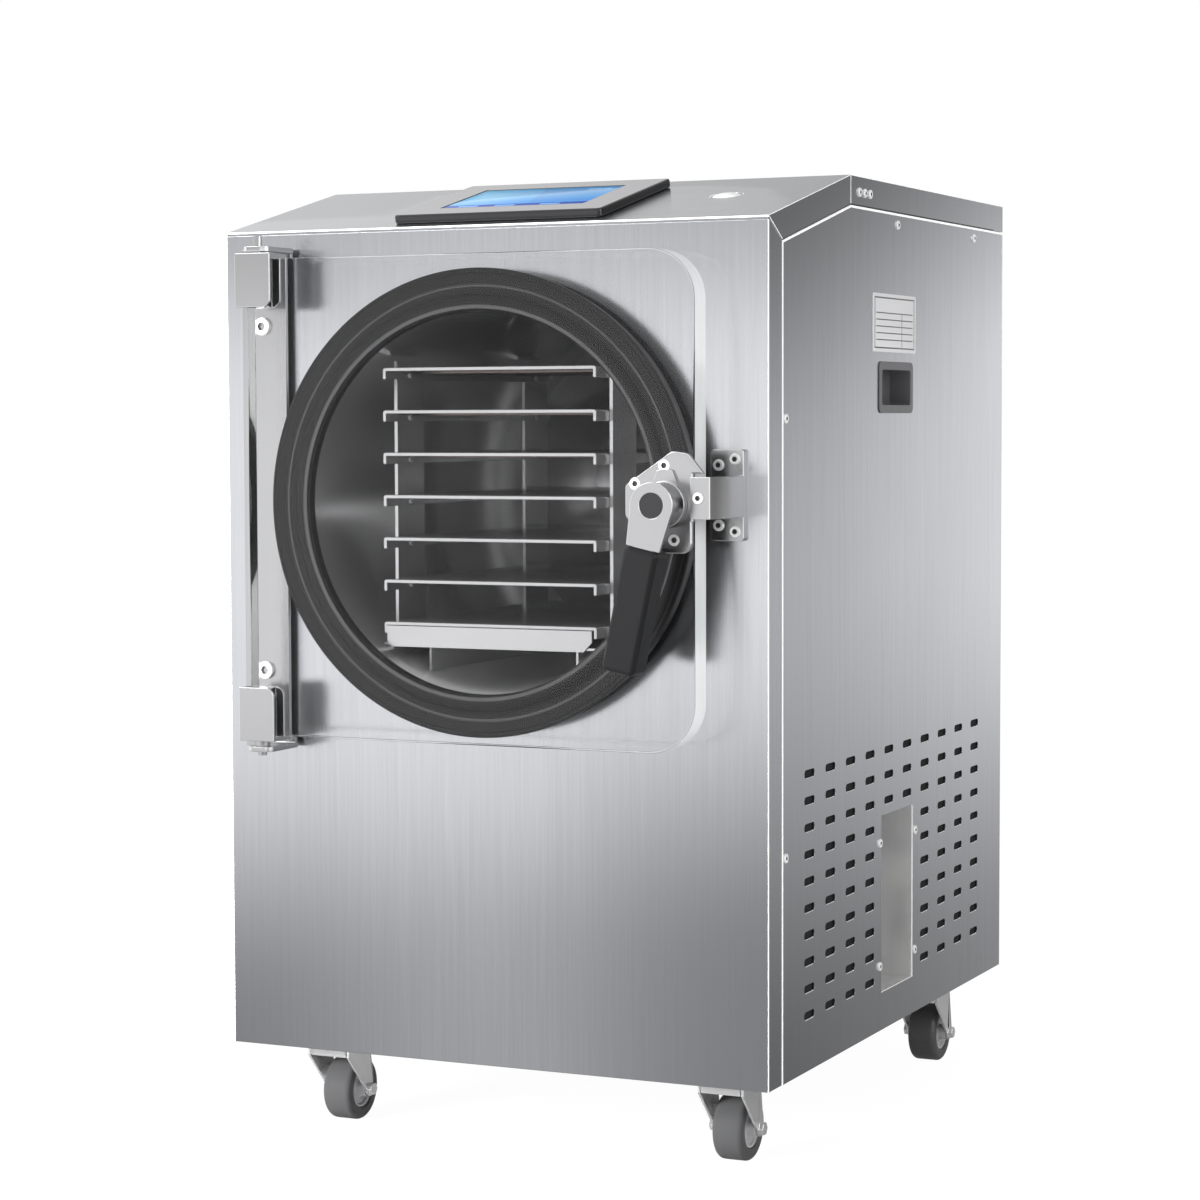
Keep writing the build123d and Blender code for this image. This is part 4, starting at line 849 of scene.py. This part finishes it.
def cabinet_sheets():
    sheet = eased("front_panel", "front_sheet", sheet_steel, 0.7)
    # The front sheet's slanted edge faces get painted highlight.
    coat_faces(sheet, lambda face: min(abs(face.normal.x), abs(face.normal.y)) > 0.3, edge_highlight)
    side_sheet("side_panel_right", "right_sheet", "right_hem")
    side_sheet("side_panel_left", "left_sheet", "left_hem")
    sheet = eased("hood", "folded_hood", hood_steel, 0.5)
    nose_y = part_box("hood")[0].y + 1 * mm
    # The hood's nose and its upward-facing bevels get painted highlight.
    coat_faces(
        sheet,
        lambda face: (face.center.y < nose_y and face.normal.y < -0.3)
        or (min(abs(face.normal.x), abs(face.normal.z)) > 0.3 and face.normal.z > 0),
        edge_highlight,
    )
    eased("rear_panel", "rear_sheet", sheet_steel, 0.4)
    eased("connection_pocket", "side_pocket", pocket_steel, 0.3)


def strip_into(shape, side, inner, outer, start, end, width):
    """A thin flat bar from start to end, both (y, z), on an upright plane."""
    start, end = Vector(start), Vector(end)
    along = (end - start).normalized()
    across = Vector((-along.y, along.x)) * width / 2
    corners = [start - across, end - across, end + across, start + across]
    slab_into(shape, side * inner, side * outer, corners)


def skirt_lines():
    """Painted highlight strips along the folds of the hood's skirt, and painted shadow strips for
    the dark gap between it and the side panel.
    """
    low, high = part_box("hood")
    skirt = outer_points("hood", 1)
    crest = min((point for point in skirt if point.z > high.z - 2 * mm), key=lambda point: point.y)
    nose = max((point for point in skirt if point.y < low.y + 2 * mm), key=lambda point: point.z)
    side_low, side_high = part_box("side_panel_right")
    seam_top, crest_y = slope_ends("side_panel_right", 1)
    inner, outer = high.x - 0.5 * mm, high.x + 0.2 * mm
    rise = 0.8 * mm
    seam_crest = (crest_y, side_high.z + rise)
    # The fold strips are painted highlight; the gap strips are painted shadow in near-black.
    fold_highlights, gap_shadows = bmesh.new(), bmesh.new()
    strips = (
        (fold_highlights, (crest.y, crest.z - mm), (crest_y, side_high.z + 2 * rise), 0.8 * mm),
        (fold_highlights, (nose.y + mm, nose.z - mm), (side_low.y, seam_top + 2 * rise), 0.7 * mm),
        (gap_shadows, (side_low.y, seam_top + rise), seam_crest, 0.6 * mm),
        (gap_shadows, seam_crest, (side_high.y - 30 * mm, side_high.z + rise), 1.3 * mm),
    )
    for side in (-1, 1):
        for shape, start, end, width in strips:
            strip_into(shape, side, inner, outer, start, end, width)
    show("skirt_folds", mesh_from(fold_highlights, "skirt_folds"), edge_highlight, "cabinet", ())
    show("skirt_gaps", mesh_from(gap_shadows, "skirt_gaps"), socket_shade, "cabinet", ())


def steel_fittings():
    for node, name, width in (
        ("hinge_bar", "hinge_channel", 0.5),
        ("keeper", "keeper_bracket", 0.6),
        ("hinge_clip_upper", "upper_clip", 0.6),
        ("hinge_clip_lower", "lower_clip", 0.6),
        ("latch_plate", "latch_backplate", 0.4),
        ("latch_handle", "latch_arm", 0.6),
    ):
        piece = eased(node, name, satin_steel, width)
        # Small front-facing bevel faces get the painted highlight of lighter steel.
        coat_faces(
            piece,
            lambda face: -0.97 < face.normal.y < -0.25 and face.area < 40 * mm * mm,
            rim_highlight,
        )


def shelves():
    for number in range(1, 8):
        eased(f"shelf_{number}", f"tray_shelf_{number}", rack_steel, 0.5)


def gasket():
    """Moulded ring: an inner lip, a broad land with a step, and a rounded outer bead."""
    low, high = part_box("door_gasket")
    depth = (high.y - low.y) / mm
    outer = (high.x - low.x) / 2 / mm
    lip = [(163.5, 3.2), (165.4, 0.6), (168.5, 0.0), (174.5, 0.0), (176.2, 0.9), (177.6, 2.3)]
    land = [(179.0, 2.6), (184.0, 2.6), (185.3, 2.0), (186.4, 0.4), (187.6, 0.0), (194.8, 0.0)]
    bead = [
        (195.6, 0.5), (196.4, 0.2), (outer - 1.6, 0.1), (outer - 0.4, 0.8),
        (outer, 2.4), (outer - 0.6, 6.0), (outer - 3.6, depth), (outer - 14, depth),
    ]
    rear = [(outer - 14, 17.9), (192.3, 17.9), (192.3, 11.5), (163.5, 11.5)]
    shape = lathe(lip + land + bead + rear, (chamber_x, low.y, chamber_z), (0, 1, 0), 160)
    mesh = mesh_from(shape, "door_seal", 30)
    piece = show("door_seal", mesh, seal_rubber, "cabinet", ["door_gasket"])

    def on_rounding(face):
        reach = math.hypot(face.center.x - chamber_x, face.center.z - chamber_z) / mm
        on_front = face.center.y < low.y + 4 * mm
        return on_front and (165 < reach < 168.6 or 184 < reach < 186.5)

    # The roundings of the inner lip and of the step get the painted highlight.
    coat_faces(piece, on_rounding, lip_highlight_rubber)


def wheels():
    """Moulded tyre with rounded shoulders on a ribbed grey hub."""
    for corner in corners:
        node = f"caster_wheel_{corner}"
        low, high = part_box(node)
        centre = (low + high) / 2
        radius = (high.z - low.z) / 2 / mm
        half = 14
        tyre = soften(
            [
                (17.5, 3 - half), (19, -half), (radius, -half),
                (radius, half), (19, half), (17.5, half - 3),
            ],
            [0.4, 1.2, 7.5, 7.5, 1.2, 0.4],
        )
        mesh = mesh_from(lathe(tyre, centre, (1, 0, 0), 72), f"tyre_{corner}", 30)
        show(f"tyre_{corner}", mesh, wheel_rubber, body_of[node], [node])
        end = [(4.2, 18.6), (7.5, 18.6), (7.5, 11), (9, 9.8), (14.5, 9.8), (15.6, 12.6)]
        end.append((17.6, 12.6))
        hub = soften([(reach, -along) for reach, along in end] + end[::-1], 0.5, 3)
        mesh = mesh_from(lathe(hub, centre, (1, 0, 0), 60), f"wheel_hub_{corner}", 30)
        show(f"wheel_hub_{corner}", mesh, hub_plastic, body_of[node], ())


def forks():
    for corner in corners:
        eased(f"caster_fork_{corner}", f"fork_{corner}", zinc, 0.5)


def door_sheet():
    """The clear plate, its edges eased; the rim has a painted highlight of its own."""
    shape = copy_of("door_plate")
    round_over(shape, 0.6 * mm)
    mesh = weigh_normals(mesh_from(shape, "clear_door", 30))
    piece = show("clear_door", mesh, acrylic, "door", ["door_plate"])
    # The rim faces get the painted highlight.
    coat_faces(
        piece, lambda face: abs(face.normal.y) < 0.35 and face.normal.x > -0.35, edge_acrylic
    )
    piece.visible_shadow = False


def mapped(name, node, finish, across, upward, ease):
    """A CAD plate with a UV map that runs from corner to corner of its own face."""
    shape = copy_of(node)
    round_over(shape, ease * mm)
    mesh = mesh_from(shape, name, 40)
    sheet = mesh.uv_layers.new(name="face_map")
    us = [vertex.co.dot(across) for vertex in mesh.vertices]
    vs = [vertex.co.dot(upward) for vertex in mesh.vertices]
    start_u, start_v = min(us), min(vs)
    wide, tall = max(us) - start_u, max(vs) - start_v
    for loop in mesh.loops:
        number = loop.vertex_index
        sheet.data[loop.index].uv = ((us[number] - start_u) / wide, (vs[number] - start_v) / tall)
    return show(name, mesh, finish, body_of[node], [node])


def slot_filters():
    """Dark mats inside each side panel behind its slots; the right one goes round the pocket."""
    low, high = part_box("side_panel_right")
    rear, bottom = high.y - 40 * mm, low.z + 36 * mm
    start, top = low.y + 36 * mm, low.z + 286 * mm
    pocket_low, pocket_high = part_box("connection_pocket")
    gap = 1 * mm
    outer, inner = half_width - 2.2 * mm, half_width - 5.2 * mm
    near, far = pocket_low.y - gap, pocket_high.y + gap
    shape = bmesh.new()
    block_into(shape, (inner, start, bottom), (outer, near, top))
    block_into(shape, (inner, far, bottom), (outer, rear, top))
    block_into(shape, (inner, near, pocket_high.z + gap), (outer, far, top))
    show("filter_mat_right", mesh_from(shape, "filter_mat_right"), filter_mat, "cabinet")
    shape = bmesh.new()
    block_into(shape, (-outer, start, bottom), (-inner, rear, top))
    show("filter_mat_left", mesh_from(shape, "filter_mat_left"), filter_mat, "cabinet")


def control_panel():
    upslope = Vector((0, math.cos(slope), math.sin(slope)))
    mapped("touch_glass", "display_screen", screen_glass, right, upslope, 0.2)
    mapped("ruled_label", "label_plate", label_vinyl, back, Vector((0, 0, 1)), 0.15)
    frame_piece = eased("display_housing", "panel_frame", bezel_plastic, 1.1)
    over = Vector((0, -math.sin(slope), math.cos(slope)))
    # The frame's top face gets the painted reflection.
    coat_faces(frame_piece, lambda face: face.normal.dot(over) > 0.99, bezel_top_reflection)
    eased("pull_handle_right", "right_pull", grey_plastic, 0.5)
    eased("pull_handle_left", "left_pull", grey_plastic, 0.5)
    crest = Vector((0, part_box("hood")[0].y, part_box("front_panel")[1].z))
    kept_height, squash = 0.5 * mm, 0.4
    for node, name, finish in (
        ("push_button", "domed_button", button_cap),
        ("button_housing", "button_ring", chrome),
    ):
        shape = copy_of(node)
        for vertex in shape.verts:
            rise = (vertex.co - crest).dot(over)
            if rise > kept_height:
                vertex.co -= over * (rise - kept_height) * (1 - squash)
        mesh = weigh_normals(mesh_from(shape, name, 40))
        show(name, mesh, finish, body_of[node], [node])


cabinet_sheets()
skirt_lines()
steel_fittings()
set_screws()
shelves()
gasket()
wheels()
forks()
eased("handle_grip", "lever_grip", black_plastic, 1.0, segments=3)
door_sheet()
slot_filters()
control_panel()


# ------------------------------------------------------------------ studio
def place_camera():
    """The camera stands to the right of the machine, turned to it and slightly down."""
    eye = Vector((1.16943, -2.59237, 0.64765))
    yaw, pitch, roll = (math.radians(angle) for angle in (24.680, 3.461, -0.190))
    ahead = Vector(
        (-math.sin(yaw) * math.cos(pitch), math.cos(yaw) * math.cos(pitch), -math.sin(pitch))
    )
    right = Vector((math.cos(yaw), math.sin(yaw), 0))
    up = right.cross(ahead)
    turned_right = right * math.cos(roll) + up * math.sin(roll)
    turned_up = up * math.cos(roll) - right * math.sin(roll)
    turn = Matrix((turned_right, turned_up, -ahead)).transposed()
    lens = bpy.data.cameras.new("camera")
    lens.lens = 90.12
    lens.sensor_width = 36
    lens.clip_start = 0.05
    camera = bpy.data.objects.new("camera", lens)
    camera.matrix_world = Matrix.Translation(eye) @ turn.to_4x4()
    scene.collection.objects.link(camera)
    scene.camera = camera


def mix_shaders(tree, share, first, second):
    mix = add_node(tree, "ShaderNodeMixShader")
    for number, source in enumerate((share, first, second)):
        link(tree, source, mix.inputs[number])
    return mix.outputs[0]


def studio_world():
    """White to the camera and through the clear door; reflections see a glow at the horizon."""
    world = bpy.data.worlds.new("studio")
    scene.world = world
    world.use_nodes = True
    tree = world.node_tree
    tree.nodes.clear()
    across, behind, up = split_axes(tree, add_node(tree, "ShaderNodeTexCoord").outputs["Generated"])
    below = slide(tree, up, -0.28, -0.02, 0.30, 1.0)
    above = slide(tree, up, 0.02, 0.10, 1.0, 0.0)
    dimmer = slide(tree, behind, -0.1, 0.3, 1.0, 0.72)
    lit_side = slide(tree, across, -0.62, -0.22, 0.92, 0.52)
    overhead = slide(tree, up, 0.4, 0.95, 1.0, 1.35)
    sky = arithmetic(tree, "MULTIPLY", lit_side, overhead)
    dome = arithmetic(tree, "MULTIPLY_ADD", above, arithmetic(tree, "SUBTRACT", dimmer, sky), sky)
    ray = add_node(tree, "ShaderNodeLightPath").outputs
    direct = arithmetic(tree, "MAXIMUM", ray["Is Camera Ray"], ray["Is Transmission Ray"])
    soft, seen, mirrored = (
        add_node(tree, "ShaderNodeBackground", Color=(1, 1, 1, 1), Strength=strength)
        for strength in (0.75, 1.0, 1.0)
    )
    link(tree, arithmetic(tree, "MINIMUM", below, dome), mirrored.inputs["Strength"])
    shared = mix_shaders(tree, ray["Is Glossy Ray"], soft.outputs[0], mirrored.outputs[0])
    total = mix_shaders(tree, direct, shared, seen.outputs[0])
    link(tree, total, add_node(tree, "ShaderNodeOutputWorld").inputs["Surface"])


def start_reflector(name, centre, width, height, facing):
    """A large card that only reflections see; returns its tree, X, Z and level input."""
    card = flat_card(name, centre, width, height, facing)
    card.visible_camera = card.visible_diffuse = card.visible_shadow = False
    card.visible_transmission = card.visible_volume_scatter = False
    made = bpy.data.materials.new(name)
    made.use_nodes = True
    tree = made.node_tree
    tree.nodes.clear()
    card.data.materials.append(made)
    across, _, up = split_axes(tree, object_place(tree))
    glow = add_node(tree, "ShaderNodeEmission", Color=(1.0, 1.0, 1.01, 1))
    result = add_node(tree, "ShaderNodeOutputMaterial")
    link(tree, glow.outputs[0], result.inputs["Surface"])
    return tree, across, up, glow.inputs["Strength"]


def front_reflector():
    """Bright from door height up and grey below, with a soft column of light in the middle.

    The clear door shows it too. share, shift_x and shift_z lead from a point of the card to the
    point of the cabinet's front where the camera sees it mirrored.
    """
    tree, across, up, level = start_reflector(
        "front_card", (-0.3, -1.3, 0.5), 3.2, 2.6, (0, 1, 0)
    )
    bpy.data.objects["front_card"].visible_transmission = True
    share, shift_x, shift_z = 0.694, 0.359, 0.199
    x = arithmetic(tree, "MULTIPLY_ADD", across, share, shift_x)
    z = arithmetic(tree, "MULTIPLY_ADD", up, share, shift_z)
    tilted = arithmetic(tree, "MULTIPLY_ADD", x, -0.19, z)
    band = slide(tree, tilted, 0.16, 0.46, 0.28, 1.10)
    distance = arithmetic(tree, "ABSOLUTE", arithmetic(tree, "ADD", x, 0.01))
    column = slide(tree, distance, 0.02, 0.21, 0.30, 0.0)
    low_only = slide(tree, z, 0.30, 0.42, 1.0, 0.0)
    lower = arithmetic(tree, "MULTIPLY_ADD", column, low_only, band)
    fall = slide(tree, z, 0.68, 0.83, 1.0, 0.52)
    shaded = arithmetic(tree, "MULTIPLY", lower, fall)
    high_only = slide(tree, z, 0.76, 0.82, 0.0, 0.55)
    link(tree, arithmetic(tree, "MULTIPLY_ADD", column, high_only, shaded), level)


def side_reflector():
    """Behind on the right: dim low down and high up, and brighter towards the object's rear.

    t runs along the camera's mirrored ray, from the cabinet's side to the card.
    """
    card_y, eye_y, eye_z = 0.6, -2.59, 0.648
    tree, across, up, level = start_reflector(
        "side_card", (1.0, card_y, 0.5), 1.46, 2.6, (0, -1, 0)
    )
    t = arithmetic(tree, "MULTIPLY_ADD", across, 1.1, -0.286)
    whole = arithmetic(tree, "ADD", t, 1.0)
    depth = arithmetic(tree, "DIVIDE", arithmetic(tree, "MULTIPLY_ADD", t, eye_y, card_y), whole)
    z = arithmetic(tree, "DIVIDE", arithmetic(tree, "MULTIPLY_ADD", t, eye_z, up), whole)
    rising = slide(tree, z, 0.08, 0.52)
    leaning = arithmetic(tree, "MULTIPLY_ADD", depth, -0.22, z)
    falling = slide(tree, leaning, 0.60, 0.93, 1.0, 0.0)
    bell = arithmetic(tree, "MULTIPLY", rising, falling)
    ground = slide(tree, depth, -0.45, 0.5, 0.13, 0.33)
    swell = slide(tree, depth, -0.45, 0.5, 0.38, 0.62)
    link(tree, arithmetic(tree, "MULTIPLY_ADD", bell, swell, ground), level)


def flat_card(name, centre, width, height, facing):
    """An upright or level sheet of the studio, facing a direction."""
    mesh = bpy.data.meshes.new(name)
    w, h = width / 2, height / 2
    mesh.from_pydata([(-w, -h, 0), (w, -h, 0), (w, h, 0), (-w, h, 0)], [], [(0, 1, 2, 3)])
    turn = Vector(facing).to_track_quat("Z", "Y").to_matrix().to_4x4()
    mesh.transform(Matrix.Translation(centre) @ turn)
    card = bpy.data.objects.new(name, mesh)
    scene.collection.objects.link(card)
    return card


def studio_floor():
    """Nearly white to the camera, with a share of the real light so that shadows show."""
    floor = flat_card("floor", (0, 0, 0), 14, 14, (0, 0, 1))
    made, tree, shader = start_material(
        "studio_floor", Base_Color=(0.9, 0.9, 0.9, 1), Roughness=0.9
    )
    ray = add_node(tree, "ShaderNodeLightPath")
    white = add_node(tree, "ShaderNodeEmission", Color=(1, 1, 1, 1), Strength=1.02)
    share = arithmetic(tree, "MULTIPLY", ray.outputs["Is Camera Ray"], 0.95)
    mixed = mix_shaders(tree, share, shader.outputs[0], white.outputs[0])
    link(tree, mixed, tree.nodes["Material Output"].inputs["Surface"])
    floor.data.materials.append(made)
    floor.visible_glossy = floor.visible_transmission = False


def softbox(name, place, size, power, target=(0, 0, 0.45)):
    lamp = bpy.data.lights.new(name, "AREA")
    lamp.shape = "RECTANGLE"
    lamp.size, lamp.size_y = size
    lamp.energy = power
    box = bpy.data.objects.new(name, lamp)
    ahead = Vector(target) - Vector(place)
    turn = ahead.to_track_quat("-Z", "Y").to_matrix().to_4x4()
    box.matrix_world = Matrix.Translation(place) @ turn
    box.visible_transmission = False
    scene.collection.objects.link(box)
    return box


place_camera()
studio_world()
front_reflector()
side_reflector()
studio_floor()
softbox("key", (-1.6, -1.8, 2.4), (1.6, 1.6), 45)
softbox("fill", (2.6, -0.6, 1.6), (1.2, 1.8), 22)
inner_light = softbox("inner_light", (-0.9, -2.0, 0.6), (0.5, 0.3), 95, (0.08, -0.1, 0.575))
inner_light.visible_glossy = False
scene.view_settings.view_transform = "Standard"
